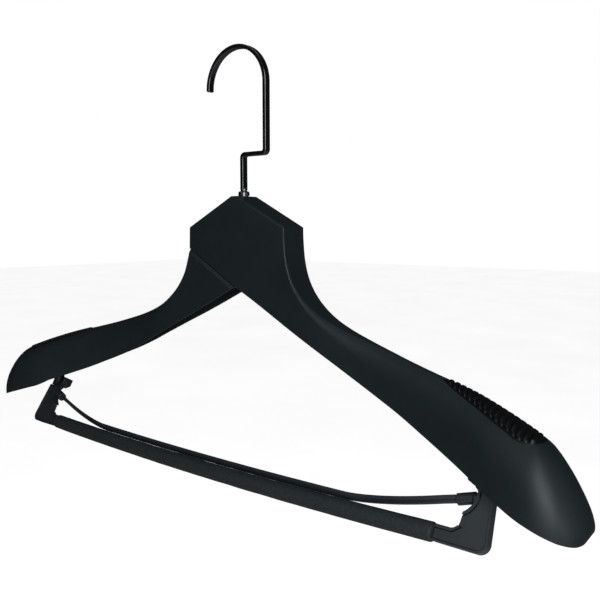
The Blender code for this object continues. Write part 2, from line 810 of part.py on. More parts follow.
def strip_ring(point, along, shrink=0.0):
    half_a = STRIP_THICKNESS / 2 - shrink
    half_b = STRIP_WIDTH / 2 - shrink
    side = Vector((-along.y, along.x))
    ring = []
    for a, b in rounded_rectangle(half_a, half_b, STRIP_EDGE):
        spot = point + side * a
        ring.append((spot.x, b, spot.y))
    return ring


def hook(finish, parent):
    path = hook_path()
    rings = []
    for index, point in enumerate(path):
        before = path[max(index - 1, 0)]
        after = path[min(index + 1, len(path) - 1)]
        rings.append(strip_ring(point, (after - before).normalized()))
    tip = path[-1] + Vector((0, -STRIP_EDGE))
    rings.append(strip_ring(tip, Vector((0, -1)), TIP_EDGE))
    made = piece("hook", extruded(rings), finish, parent)
    stem = cylinder(STEM_RADIUS, strip_foot() - STEM_LENGTH, strip_foot() + STEM_ROOT)
    return join(made, piece("stem", stem, parent=parent))


def ferrule(finish, parent):
    bore = STEM_RADIUS + RUNNING_GAP
    tube_radius = bore + FERRULE_WALL
    seat = HEAD_RISE + GAP
    shoulder = (FLANGE_RADIUS - FLANGE_BROW, seat + FLANGE_HEIGHT - FLANGE_BROW)
    profile = [
        (bore, STEM_BOSS_FOOT),
        (tube_radius, STEM_BOSS_FOOT),
        (tube_radius, seat),
        (FLANGE_RADIUS, seat),
    ]
    profile += arc(shoulder, FLANGE_BROW, 0, math.pi / 2, 3)
    profile.append((bore, seat + FLANGE_HEIGHT))
    return piece("swivel_ferrule", turned(profile, FINE), finish, parent)


def stem_washer(finish, parent):
    top = STEM_BOSS_FOOT - GAP
    body = tube(STEM_RADIUS + GAP, WASHER_RADIUS, top - WASHER_THICKNESS, top)
    return piece("stem_washer", body, finish, parent)


def stem_nut(finish, parent):
    made = hexagon(NUT_HALF_FLATS, STEM_RADIUS + GAP, NUT_HEIGHT)
    made.name = "stem_nut"
    made.data.materials.append(finish)
    made.parent = parent
    made.location.z = STEM_BOSS_FOOT - 2 * GAP - WASHER_THICKNESS - NUT_HEIGHT
    return made


# Trouser bar frame: x along the bar, y back and z up in the leaning plane, z = 0 at the pivot


def bar_height(x):
    """Height of the sagging bar's axis over x."""
    share = min(abs(x) / SLEEVE_HALF_LENGTH, 1.0)
    return -BAR_DROP - BAR_SAG * (1 - share**2)


def bent_rod(radius, heights, reach, steps, sides, ends=0.0, flat=1.0, twist=0.0):
    """A rod along X whose axis follows heights(x). ends rounds its two edges, flat is its depth
    as a share of its height, and twist turns that height towards the front."""
    places = [(reach * (2 * step / steps - 1), radius) for step in range(steps + 1)]
    if ends:
        edge = arc((reach - ends, radius - ends), ends, math.pi / 2, 0, 2)
        places = [(-x, size) for x, size in reversed(edge)] + places[1:-1] + edge
    rings = []
    for x, size in places:
        circle = arc((0, 0), size, 0, math.tau * (sides - 1) / sides, sides - 1)
        spots = [Matrix.Rotation(twist, 2) @ Vector((y * flat, z)) for y, z in circle]
        rings.append([(x, spot.x, heights(x) + spot.y) for spot in spots])
    return extruded(rings)


def bar_core(finish, parent):
    reach = FOOT_END + CORE_SOCKET_DEPTH - GAP
    return piece("bar_core", bent_rod(CORE_RADIUS, bar_height, reach, BAR_STEPS, SMALL), finish, parent)


def bar_sleeve(finish, parent):
    body = bent_rod(
        SLEEVE_RADIUS, bar_height, SLEEVE_HALF_LENGTH, BAR_STEPS, SLEEVE_SIDES, SLEEVE_END_RADIUS
    )
    made = piece("bar_sleeve", body, finish, parent)
    bore = bent_rod(CORE_RADIUS + GAP, bar_height, SLEEVE_HALF_LENGTH + CUT, BAR_STEPS, SMALL)
    return cut(made, piece("bore", bore, parent=parent))


def rod_rest():
    """How high over the bar's axis the twisted rod lies when it rests on the sleeve."""
    heights = []
    for degree in range(round(math.degrees(ROD_TWIST))):
        way = math.radians(degree)
        wide = ROD_HALF_WIDTH * math.cos(ROD_TWIST + way)
        thick = ROD_HALF_THICKNESS * math.sin(ROD_TWIST + way)
        reach = SLEEVE_RADIUS + ROD_REST_GAP + math.hypot(wide, thick)
        heights.append(reach / math.cos(way))
    return min(heights)


def rod_reach():
    """Where the rod's tongues end, inside its caps."""
    return CAP_OUTER - PIN_IN_CAP - GAP


def rod_height(x):
    """Height of the rod over its pivots: it lies on the sleeve, then bends up to them."""
    clear = rod_rest() - CLAMP_RISE
    share = (abs(x) - ROD_REST_REACH) / (CAP_OUTER - ROD_REST_REACH)
    lift = -bar_height(CAP_OUTER) - clear
    return bar_height(x) + clear + lift * max(share, 0.0) ** ROD_RISE_POWER


def clamp_rod(finish, parent):
    """A flat rod whose thinner ends sit in the caps."""
    flat = ROD_HALF_THICKNESS / ROD_HALF_WIDTH
    reach = CAP_OUTER - CAP_LENGTH / 2
    body = bent_rod(
        ROD_HALF_WIDTH, rod_height, reach, ROD_STEPS, ROD_SIDES, flat=flat, twist=ROD_TWIST
    )
    made = piece("clamp_rod", body, finish, parent)
    for sign in (1, -1):
        cut(made, piece("cap", cap_blank(sign, GAP), parent=parent))
    return join(made, rod_tongue(0.0, parent))


def rod_tongue(grow, parent):
    """The thinner core that runs on into both caps, or with a gap round it, its socket."""
    half = ROD_HALF_WIDTH * ROD_TONGUE_SHARE + grow
    flat = (ROD_HALF_THICKNESS * ROD_TONGUE_SHARE + grow) / half
    reach = rod_reach() + grow
    body = bent_rod(half, rod_height, reach, ROD_STEPS, ROD_SIDES, flat=flat, twist=ROD_TWIST)
    return piece("tongue", body, parent=parent)


def cap_blank(sign, grow=0.0):
    """A cap's outside: a drum that leans in towards the rod, cut square at its outer end."""
    radius = CAP_RADIUS + grow
    inner_end = -CAP_LENGTH - grow
    profile = (
        (0, inner_end),
        (radius - CAP_EDGE, inner_end),
        (radius, inner_end + CAP_EDGE),
        (radius, radius),
        (0, radius),
    )
    body = along_x(turned(profile), 1)
    bmesh.ops.rotate(body, matrix=Matrix.Rotation(-CAP_TILT, 3, "Y"), verts=body.verts)
    bmesh.ops.translate(body, verts=body.verts, vec=(CAP_OUTER, 0, 0))
    left = bmesh.ops.bisect_plane(
        body,
        geom=[*body.verts, *body.edges, *body.faces],
        plane_co=(CAP_OUTER + grow, 0, 0),
        plane_no=(1, 0, 0),
        clear_outer=True,
    )
    rim = [item for item in left["geom_cut"] if isinstance(item, bmesh.types.BMEdge)]
    bmesh.ops.edgeloop_fill(body, edges=rim)
    bmesh.ops.scale(body, vec=(sign, 1, 1), verts=body.verts)
    return body


def clamp_cap(name, sign, finish, parent):
    made = piece(name, cap_blank(sign), finish, parent)
    cut(made, rod_tongue(GAP, parent))
    hole = cylinder(PIN_RADIUS + GAP, CAP_OUTER - PIN_IN_CAP - CUT, CAP_OUTER + CUT, SMALL)
    return cut(made, piece("hole", along_x(hole, sign), parent=parent))


def pivot_pin(name, sign, finish, parent):
    start = CAP_OUTER - PIN_IN_CAP
    body = cylinder(PIN_RADIUS, start, start + PIN_LENGTH, SMALL)
    return piece(name, along_x(body, sign), finish, parent)


# Brackets


def bracket_outline():
    """Outline of the right bracket in x and z, clockwise from the top outer corner."""
    bottom = -BAR_DROP - FOOT_HEIGHT / 2
    foot_top = -BAR_DROP + FOOT_HEIGHT / 2
    corner = BRACKET_CORNER_RADIUS
    fillet = BRACKET_FILLET_RADIUS
    outer = BRACKET_OUTER
    points = [(BRACKET_TOP_OUTER, BRACKET_TOP)]
    points += arc((outer - corner, bottom + corner), corner, 0, -math.pi / 2, CORNER_STEPS)
    points.append((FOOT_END, bottom))
    points.append((FOOT_END, foot_top))
    seat = BRACKET_SPUR - fillet - FILLET_INSET
    points += arc((seat, foot_top + fillet), fillet, -math.pi / 2, -FILLET_END, CORNER_STEPS)
    points += hollow_arc()
    points.append((BRACKET_NECK, NECK_HEIGHT))
    points.append((BRACKET_TOP_INNER, BRACKET_TOP))
    return points


def hollow_arc():
    """The hollow above the spur: an arc of known radius from the spur's tip to the neck."""
    tip = Vector((BRACKET_SPUR, -SPUR_DROP))
    neck = Vector((BRACKET_NECK, HOLLOW_TOP))
    half = (neck - tip).length / 2
    across = Vector((-(neck - tip).y, (neck - tip).x)).normalized()
    centre = (tip + neck) / 2 + across * math.sqrt(BRACKET_HOLLOW_RADIUS**2 - half**2)
    start = math.atan2(tip.y - centre.y, tip.x - centre.x)
    end = math.atan2(neck.y - centre.y, neck.x - centre.x)
    return arc(centre, BRACKET_HOLLOW_RADIUS, start, end, CORNER_STEPS)


def web_recess():
    """The sunk field inside the rim. It runs out to the edge between spur and foot, and at the
    foot's end."""
    bottom = -BAR_DROP - FOOT_HEIGHT / 2 + RIM_WIDTH
    foot_top = -BAR_DROP + FOOT_HEIGHT / 2 - INNER_RIM_WIDTH
    corner = BRACKET_CORNER_RADIUS - RIM_WIDTH
    outer = BRACKET_OUTER - RIM_WIDTH
    points = [(BRACKET_TOP_OUTER - RIM_WIDTH, BRACKET_TOP - RIM_WIDTH)]
    points += arc((outer - corner, bottom + corner), corner, 0, -math.pi / 2, CORNER_STEPS)
    points.append((FOOT_END - CUT, bottom))
    points.append((FOOT_END - CUT, foot_top))
    foot_rise = foot_top + INNER_RIM_WIDTH + FIELD_FOOT_RISE
    mouth = BRACKET_SPUR - FIELD_MOUTH
    points.append((BRACKET_SPUR - BRACKET_FILLET_RADIUS + FIELD_STEP, foot_top))
    points.append((BRACKET_SPUR + FIELD_STEP, foot_rise))
    points.append((mouth, foot_rise + FIELD_FOOT_STEP))
    points.append((mouth, -SPUR_DROP - INNER_RIM_WIDTH))
    inward = INNER_RIM_WIDTH * math.cos(HOLLOW_LEAN)
    down = INNER_RIM_WIDTH * math.sin(HOLLOW_LEAN)
    points += [(x + inward, z - down) for x, z in hollow_arc()]
    points.append((BRACKET_NECK + inward, BRACKET_TOP - RIM_WIDTH))
    return points


def mirrored(outline, sign):
    return [(sign * x, z) for x, z in outline]


def bracket(name, sign, finish, parent):
    half = BRACKET_THICKNESS / 2
    made = piece(name, prism(mirrored(bracket_outline(), sign), -half, half), finish, parent)
    for side in (-1, 1):
        depth = (side * (half - RIM_HEIGHT), side * (half + CUT))
        field = prism(mirrored(web_recess(), sign), min(depth), max(depth))
        cut(made, piece("field", field, parent=parent))
    low = (sign * MOUNT_X - TENON_HALF_WIDTH, -TENON_HALF_THICKNESS, BRACKET_TOP - CUT)
    high = (sign * MOUNT_X + TENON_HALF_WIDTH, TENON_HALF_THICKNESS, BRACKET_TOP + TENON_LENGTH)
    join(made, piece("tenon", block(low, high), parent=parent))
    socket = core_socket(sign)
    cut(made, piece("socket", socket, parent=parent))
    join(made, piece("boss", pin_boss(sign), parent=parent))
    hole = along_x(cylinder(PIN_RADIUS + RUNNING_GAP, CAP_OUTER, pin_end(), SMALL), sign)
    bmesh.ops.translate(hole, verts=hole.verts, vec=(0, 0, CLAMP_RISE))
    cut(made, piece("hole", hole, parent=parent))
    return cut(made, mount_hole(sign, MOUNT_SCREW_RADIUS + GAP, parent))


def pin_end():
    return CAP_OUTER - PIN_IN_CAP + PIN_LENGTH + GAP


def pin_boss(sign):
    """A round swelling of the neck round the pin's hole, which reaches to the cap."""
    radius = PIN_RADIUS + RUNNING_GAP + PIN_BOSS_WALL
    start = CAP_OUTER + PIN_BOSS_SIDE_GAP
    body = along_x(cylinder(radius, start, BRACKET_NECK + INNER_RIM_WIDTH), sign)
    bmesh.ops.translate(body, verts=body.verts, vec=(0, 0, CLAMP_RISE))
    return body


def core_socket(sign):
    reach = FOOT_END + CORE_SOCKET_DEPTH
    body = along_x(cylinder(CORE_RADIUS + GAP, FOOT_END - CUT, reach, SMALL), sign)
    bmesh.ops.translate(body, verts=body.verts, vec=(0, 0, -BAR_DROP))
    return body


# Mounts


def tenon_middle():
    return BRACKET_TOP + GAP + TENON_LENGTH / 2


def screw_place(sign):
    """Where a mount's screw enters the lug, in the frame."""
    return (sign * MOUNT_X, LUG_BACK, tenon_middle())


def mount_hole(sign, radius, frame):
    hole = cylinder(radius, -MOUNT_SCREW_DEPTH - GAP, CUT, SMALL)
    turn = (-math.pi / 2, 0, 0)
    return piece("hole", hole, parent=frame, location=screw_place(sign), rotation=turn)


def bar_mount(name, sign, finish, hanger, frame):
    foot = BRACKET_TOP + GAP
    outline = (
        (LUG_INNER + 2 * LUG_CHAMFER, foot),
        (LUG_OUTER, foot),
        (LUG_OUTER, foot + LUG_HEIGHT),
        (LUG_INNER, foot + LUG_HEIGHT),
        (LUG_INNER, foot + LUG_CHAMFER),
    )
    lug = prism(mirrored(outline, sign), LUG_FRONT, LUG_BACK)
    bmesh.ops.recalc_face_normals(lug, faces=lug.faces)
    bmesh.ops.bevel(
        lug, geom=lug.edges, offset=LUG_EDGE, segments=2, profile=0.5, affect="EDGES", material=-1
    )
    made = piece(name, lug, finish, frame)
    post = upright_post(sign, hanger)
    join(made, post)
    half_thick = TENON_HALF_THICKNESS + GAP
    half_wide = TENON_HALF_WIDTH + GAP
    low = (sign * MOUNT_X - half_wide, -half_thick, BRACKET_TOP - CUT)
    high = (sign * MOUNT_X + half_wide, half_thick, BRACKET_TOP + TENON_LENGTH + GAP)
    cut(made, piece("slot", block(low, high), parent=frame))
    return cut(made, mount_hole(sign, MOUNT_SCREW_RADIUS + GAP, frame))


def upright_post(sign, hanger):
    """From the middle of the lug up into the boss inside the arm."""
    foot = pivot_place()[2] + math.cos(FRAME_LEAN) * tenon_middle()
    top = boss_foot() + POST_LENGTH - GAP
    location = (sign * MOUNT_X, post_y(), 0)
    return piece("post", cylinder(POST_RADIUS, foot, top), parent=hanger, location=location)


def mount_screw(name, sign, finish, frame):
    brow = MOUNT_SCREW_HEAD_HEIGHT / 4
    head = MOUNT_SCREW_HEAD_RADIUS
    profile = (
        (0, -MOUNT_SCREW_DEPTH),
        (MOUNT_SCREW_RADIUS, -MOUNT_SCREW_DEPTH),
        (MOUNT_SCREW_RADIUS, GAP),
        (head, GAP),
        (head, MOUNT_SCREW_HEAD_HEIGHT - brow),
        (head - brow, MOUNT_SCREW_HEAD_HEIGHT),
        (0, MOUNT_SCREW_HEAD_HEIGHT),
    )
    turn = (-math.pi / 2, 0, 0)
    return piece(name, turned(profile), finish, frame, screw_place(sign), turn)


# The whole hanger


def build_head_and_arms(hanger):
    soft_touch = material("soft_touch_plastic", SOFT_TOUCH, 0.5)
    rubber = material("pad_rubber", BLACK_RUBBER, 0.6)
    steel = material("steel", STEEL, 0.3, 1.0)
    right_arm(soft_touch, hanger)
    left_arm(soft_touch, hanger)
    for name, place in zip(("head_screw_left", "head_screw_right"), TONGUE_BOSSES):
        head_screw(name, place, steel, hanger)
    shoulder_pad("shoulder_pad_right", 1, rubber, hanger)
    shoulder_pad("shoulder_pad_left", -1, rubber, hanger)
    ferrule(steel, hanger)


def build_hook(swivel):
    nickel = material("black_nickel", BLACK_NICKEL, 0.25, 1.0)
    zinc = material("zinc", STEEL, 0.4, 1.0)
    hook(nickel, swivel)
    stem_washer(zinc, swivel)
    stem_nut(zinc, swivel)


def build_bar(hanger, frame):
    plastic = material("black_plastic", BLACK_PLASTIC, 0.42)
    foam = material("foam_sleeve", FOAM, 0.95)
    steel = material("rod_steel", STEEL, 0.35, 1.0)
    bar_core(steel, frame)
    bar_sleeve(foam, frame)
    for side, sign in (("right", 1), ("left", -1)):
        bracket(f"bar_bracket_{side}", sign, plastic, frame)
        bar_mount(f"bar_mount_{side}", sign, plastic, hanger, frame)
        mount_screw(f"mount_screw_{side}", sign, steel, frame)


def build_clamp(clamp):
    coated = material("coated_rod", BLACK_PLASTIC, 0.38)
    steel = material("pin_steel", STEEL, 0.35, 1.0)
    clamp_rod(coated, clamp)
    for side, sign in (("right", 1), ("left", -1)):
        clamp_cap(f"clamp_cap_{side}", sign, coated, clamp)
        pivot_pin(f"pivot_pin_{side}", sign, steel, clamp)


def main():
    for old in list(bpy.data.objects):
        bpy.data.objects.remove(old)
    hanger = empty("hanger_frame", location=(0, 0, -seat_height()))
    swivel = empty("hook_swivel_axis", hanger)
    lean = (-FRAME_LEAN, 0, 0)
    frame = empty("bar_frame", hanger, pivot_place(), lean)
    clamp = empty("clamp_pivot_axis", frame, (0, 0, CLAMP_RISE))
    build_head_and_arms(hanger)
    build_hook(swivel)
    build_bar(hanger, frame)
    build_clamp(clamp)


main()
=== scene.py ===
"""Dresses the frame of a wide-shoulder suit hanger, with one operator for each group of pieces.

Lengths are metres in the frame of the part: X runs along the hanger, its arms bow forward to -Y,
Z is up, and the origin is the rail seat inside the hook. Pieces are modelled about the head,
whose side corners lie at z = 0, or in the leaning frame of the trouser bar, and moved into
place as they are finished.
"""

import math
from collections import namedtuple

import bmesh
import bpy
from mathutils import Matrix, Vector, noise


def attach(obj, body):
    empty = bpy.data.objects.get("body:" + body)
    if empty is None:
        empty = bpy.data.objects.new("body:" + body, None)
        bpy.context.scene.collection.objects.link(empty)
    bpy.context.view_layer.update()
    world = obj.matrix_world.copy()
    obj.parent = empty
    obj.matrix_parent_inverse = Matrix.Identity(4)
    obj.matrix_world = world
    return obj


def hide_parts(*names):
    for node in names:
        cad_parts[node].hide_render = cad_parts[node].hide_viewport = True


bl_info = {
    "name": "Suit hanger",
    "version": (1, 0, 0),
    "blender": (4, 5, 0),
    "location": "3D View > Sidebar > Hanger",
    "description": "Models a suit hanger with a swivel hook, shoulder pads and a clamping trouser bar",
    "category": "Object",
}

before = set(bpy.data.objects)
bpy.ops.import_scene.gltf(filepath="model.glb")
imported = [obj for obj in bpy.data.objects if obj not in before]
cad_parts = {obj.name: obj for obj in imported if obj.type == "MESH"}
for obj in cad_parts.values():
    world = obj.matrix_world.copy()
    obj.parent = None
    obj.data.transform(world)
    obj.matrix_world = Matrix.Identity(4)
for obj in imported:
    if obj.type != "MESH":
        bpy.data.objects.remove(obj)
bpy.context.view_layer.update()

# The hanger's sides along X
SIDES = (("right", 1), ("left", -1))

# Clearances
GAP = 0.0003  # between fixed pieces that touch
RUNNING_GAP = 0.0001  # round a pin that turns
CUT = 0.002  # how far a cutter passes through the face it opens

# Head: a flat hexagon with the notch between the arms under it
HEAD_HALF_WIDTH = 0.0408
HEAD_THICKNESS = 0.020
HEAD_RISE = 0.0196
HEAD_TOP_HALF_WIDTH = 0.0025
HEAD_EDGE_RADIUS = 0.0012
NOTCH_DROP = 0.0375
JOINT_DROP = 0.0133
JOINT_GROOVE = 0.0012
JOINT_CHAMFER = 0.0011
JOINT_CHAMFER_RUN = 0.0024
JOINT_FAN = 1.08
SIDE_FLARE = 0.00045
CORNER_LOW_SHARE = 0.6
TOP_LOW_SHARE = 0.1

# Arms: hollow shells, open underneath
ARM_REACH = 0.2282
ARM_DROP = 0.1342
ARM_BOW = 0.035
SHOULDER_HALF_DEPTH = 0.0213
NECK_HALF_DEPTH = 0.0083
RIM_TILT = 0.0063
RIM_TILT_FADE = 18
CREST_WALL = 0.0028
HOLLOW_OVERRUN = CUT * 3  # of the hollow's cutter under the arm's lower edge
HOLLOW_EDGE_RADIUS = 0.0004
RIB_THICKNESS = 0.0020
RIB_SHARES = (0.403, 0.561, 0.894)
RIB_SET_BACK = 0.005

# Hook: a flat strip bent the easy way, on a round stem
STRIP_THICKNESS = 0.0026
STRIP_WIDTH = 0.0046
ARCH_RADIUS = 0.0242
ARCH_OFFSET = -0.0051
ARCH_HEIGHT = 0.0891
TIP_DROP = 0.0005
JOG_HEIGHT = 0.0460
JOG_BEND_RADIUS = 0.0023
STEM_RADIUS = 0.0020
STEM_LENGTH = 0.0235
STEM_ROOT = 0.0012

# Ferrule in the head
FERRULE_WALL = 0.0008
FLANGE_RADIUS = 0.0036
FLANGE_HEIGHT = 0.0030
FLANGE_BROW = 0.0013
STEM_BOSS_WALL = 0.0030
STEM_BOSS_FOOT = 0.0052

# Tongue of the left arm, screwed inside the head
TONGUE_THICKNESS = 0.0040
TONGUE_ROOT = 0.0035
TONGUE_SIDE_HEIGHT = 0.0085
TONGUE_SIDE_GAP = 5 * GAP
TONGUE_SLOPE_RUN = 0.0110
TONGUE_TOP = -0.0060
TONGUE_TOP_REACH = 0.0080
TONGUE_RIGHT = 0.0250
TONGUE_FOOT = -0.0340
TONGUE_INNER_FOOT = 0.0030
TONGUE_CORNER = 0.0100
TONGUE_BOSS_RADIUS = 0.0040
TONGUE_BOSSES = ((-0.020, -0.0135), (0.017, -0.0205))
SCREW_RADIUS = 0.0015
SCREW_LENGTH = 0.0110
SCREW_HEAD_RADIUS = 0.0029
SCREW_HEAD_DEPTH = 0.0016
SCREW_SLOT_REACH = 0.0018
SCREW_SLOT_WIDTH = 0.0007
SCREW_SLOT_DEPTH = 0.0007
SCREW_EDGE = SCREW_SLOT_WIDTH / 10

# Shoulder pads, set in a recess along the crest
PAD_TO_TIP = 0.0224
PAD_LENGTH = 0.0570
PAD_END_RUN = 0.0113
PAD_END = ARM_REACH - PAD_TO_TIP
PAD_WIDEST = PAD_END - PAD_END_RUN
PAD_START = PAD_END - PAD_LENGTH
PAD_HALF_WIDTH = 0.0106
PAD_TAPER = 0.42
PAD_DEPTH = 0.0016
PAD_FACE = -0.0004
PAD_MARGIN = 0.0020
PAD_END_SHARES = (0.0, 0.03, 0.12, 0.28, 0.5, 0.75)
PAD_POINT_SHARE = 0.05
PAD_BORDER = 0.0013  # plain strip between the ribs' ends and the pad's side
PAD_EDGE_DROP = 0.0003
RIB_COUNT = 16
RIB_FULLNESS = 1.35

# Trouser bar frame, leaning forward from the posts under the shoulders
FRAME_LEAN = math.radians(31)
MOUNT_TO_TIP = 0.0500
MOUNT_X = ARM_REACH - MOUNT_TO_TIP
PIVOT_FORWARD = 0.01035  # of the middle of the arm's section at the mount
PIVOT_BELOW = 0.0108  # under the arm's lower edge there
BAR_DROP = 0.0196
BAR_SAG = 0.0028
CORE_RADIUS = 0.0012
FOOT_IN = 0.0194
FOOT_END = MOUNT_X - FOOT_IN
SLEEVE_RADIUS = 0.0049
SLEEVE_HALF_LENGTH = FOOT_END - GAP
SLEEVE_END_RADIUS = 0.0018
SWELL_STRETCH = 3  # of the foam's unevenness along the bar

# Brackets: plates with a raised rim
BRACKET_OUTER = MOUNT_X + 0.0077
BRACKET_TOP_OUTER = MOUNT_X + 0.0054
BRACKET_NECK = MOUNT_X - 0.0024
BRACKET_SPUR = MOUNT_X - 0.0074
BRACKET_TOP = 0.0060
BRACKET_TOP_INNER = MOUNT_X - 0.0044
NECK_HEIGHT = 0.0042
SPUR_DROP = 0.0070
FOOT_HEIGHT = 0.0081
BRACKET_CORNER_RADIUS = 0.0053
BRACKET_HOLLOW_RADIUS = 0.0127
BRACKET_FILLET_RADIUS = 0.0040
BRACKET_THICKNESS = 0.0060
RIM_HEIGHT = 0.0010
RIM_WIDTH = 0.0009
INNER_RIM_WIDTH = 0.0016
HOLLOW_LEAN = math.radians(37)
HOLLOW_TOP = 0.0012
FILLET_END = math.radians(8)
FILLET_INSET = 0.0004
FIELD_MOUTH = 0.0030
FIELD_STEP = 0.0006
FIELD_FOOT_RISE = 0.0014
FIELD_FOOT_STEP = 0.0012
FIELD_GROOVE_WIDTH = 0.00045
FIELD_GROOVE_DEPTH = 0.0005
CORE_SOCKET_DEPTH = 0.0120

# Mounts that carry the brackets
LUG_INNER = MOUNT_X - 0.0092
LUG_OUTER = MOUNT_X + 0.0042
LUG_FRONT = -0.0030
LUG_BACK = 0.0050
LUG_HEIGHT = 0.0075
LUG_CHAMFER = 0.0022
LUG_EDGE = 0.0006
POST_RADIUS = 0.0039
POST_SET_BACK = 0.0050
POST_LENGTH = 0.0120
POST_BOSS_WALL = 0.0019
POST_BOSS_SET_BACK = 0.0030
TENON_HALF_WIDTH = 0.0016
TENON_HALF_THICKNESS = 0.0013
TENON_LENGTH = 0.0060
MOUNT_SCREW_RADIUS = 0.0010
MOUNT_SCREW_DEPTH = 0.0070
MOUNT_SCREW_HEAD_RADIUS = 0.0024
MOUNT_SCREW_HEAD_HEIGHT = 0.0016
MOUNT_SCREW_SLOT_REACH = MOUNT_SCREW_HEAD_RADIUS * 0.6

# Clamp rod: a flat bail that lies on the bar
CLAMP_RISE = 0.0010
ROD_HALF_WIDTH = 0.0029
ROD_HALF_THICKNESS = 0.0011
ROD_REST_GAP = 0.0004  # between the rod and the sleeve
ROD_TWIST = math.radians(58)  # of its wide side, from upright towards the front
ROD_REST_REACH = 0.105  # along which it lies on the sleeve, to each side
ROD_RISE_POWER = 1.5
CAP_RADIUS = 0.0030
CAP_SIDE_GAP = 0.0020
CAP_OUTER = BRACKET_NECK - CAP_SIDE_GAP
CAP_LENGTH = 0.0085
CAP_TILT = math.radians(18)
PIN_RADIUS = 0.0010
PIN_LENGTH = 0.0095
PIN_IN_CAP = 0.0025
PIN_BOSS_WALL = 0.0017
PIN_BOSS_SIDE_GAP = 0.0004

# Facets
ROUND = 64
SMALL_ROUND = 32
STATION_STEPS = 5
CREST_STEPS = 14
WALL_STEPS = 5
CORNER_STEPS = 10
ARCH_STEPS = 120
BEND_STEPS = 10
ROD_STEPS = 160
EDGE_STEPS = 4
STRIP_CORNER_STEPS = 5
LUG_EDGE_STEPS = 5
SCREW_BROW_STEPS = 6
PAD_RINGS_PER_RIB = 12
PAD_COLUMNS = 36
RECESS_RINGS_PER_RIB = 2
RECESS_COLUMNS = 16
SLEEVE_SIDES = 48
CORE_SIDES = 24
ROD_SIDES = 32
ROUNDED_SEGMENTS = 2
ROUNDED_ANGLE = math.radians(40)  # past which an edge is rounded
SHARP_ANGLE = math.radians(24)  # past which an edge is shaded sharp
WELD = 1e-6  # the distance within which points are one

# Numbers of the finishes
NOISE_LOW = 0.3
NOISE_HIGH = 0.7
RUBBER_SHINE = 0.3  # the specular level of the pads
# Painted shade: the mounts are coloured darker than the brackets to stand for the shadow of the arms over
# them
MOUNT_PAINTED_SHADE = 0.4  # of the mounts' colour, as a share of the brackets'
FOAM_CHANGE = 1.8  # of the foam's second tone, as a share of its first
FLOOR_CHANGE = 0.97  # and of the floor's
FLOOR_ROUGHNESS = 0.8
PLATING_COAT = 0.35
PLATING_COAT_ROUGHNESS = 0.12
GRAIN_RELIEF = 0.0001  # of a bump, as all the reliefs
FOAM_RELIEF = 0.0002
LINE_RELIEF = 0.00005

# Camera and stage
CAMERA_PLACE = (0.3078, -0.3345, -0.1113)
CAMERA_PITCH = math.radians(84.046)
CAMERA_TURN = math.radians(38.09)
CAMERA_LENS = 42.0
CAMERA_SENSOR = 36.0
CAMERA_NEAR = 0.01
FLOOR_HALF_WIDTH = 8.0
ROOM_TINT = (0.93, 0.97, 1.0, 1.0)
ARM_AIM = (0.08, -0.03, -0.20)
MIDDLE_AIM = (0.0, -0.03, -0.16)

# Lights, each with the name of the setting that holds its power
Light = namedtuple("Light", "name place aim width height power")
LIGHTS = (
    Light("key", (0.47, -0.45, 0.03), ARM_AIM, 0.4, 0.6, "key_power"),
    Light("left_fill", (-0.1, -0.8, 0.1), ARM_AIM, 0.4, 0.4, "left_power"),
    Light("low_fill", (0.35, -0.8, -0.4), ARM_AIM, 0.4, 0.4, "low_power"),
    Light("high", (-0.34, -0.96, 0.83), MIDDLE_AIM, 0.8, 0.8, "far_power"),
    Light("side", (1.36, 0.21, 0.08), MIDDLE_AIM, 0.8, 0.8, "far_power"),
    Light("top", (0.1, 0.1, 1.2), MIDDLE_AIM, 0.5, 0.5, "far_power"),
)

Section = namedtuple("Section", "top low centre half crest_width crest_height tilt")

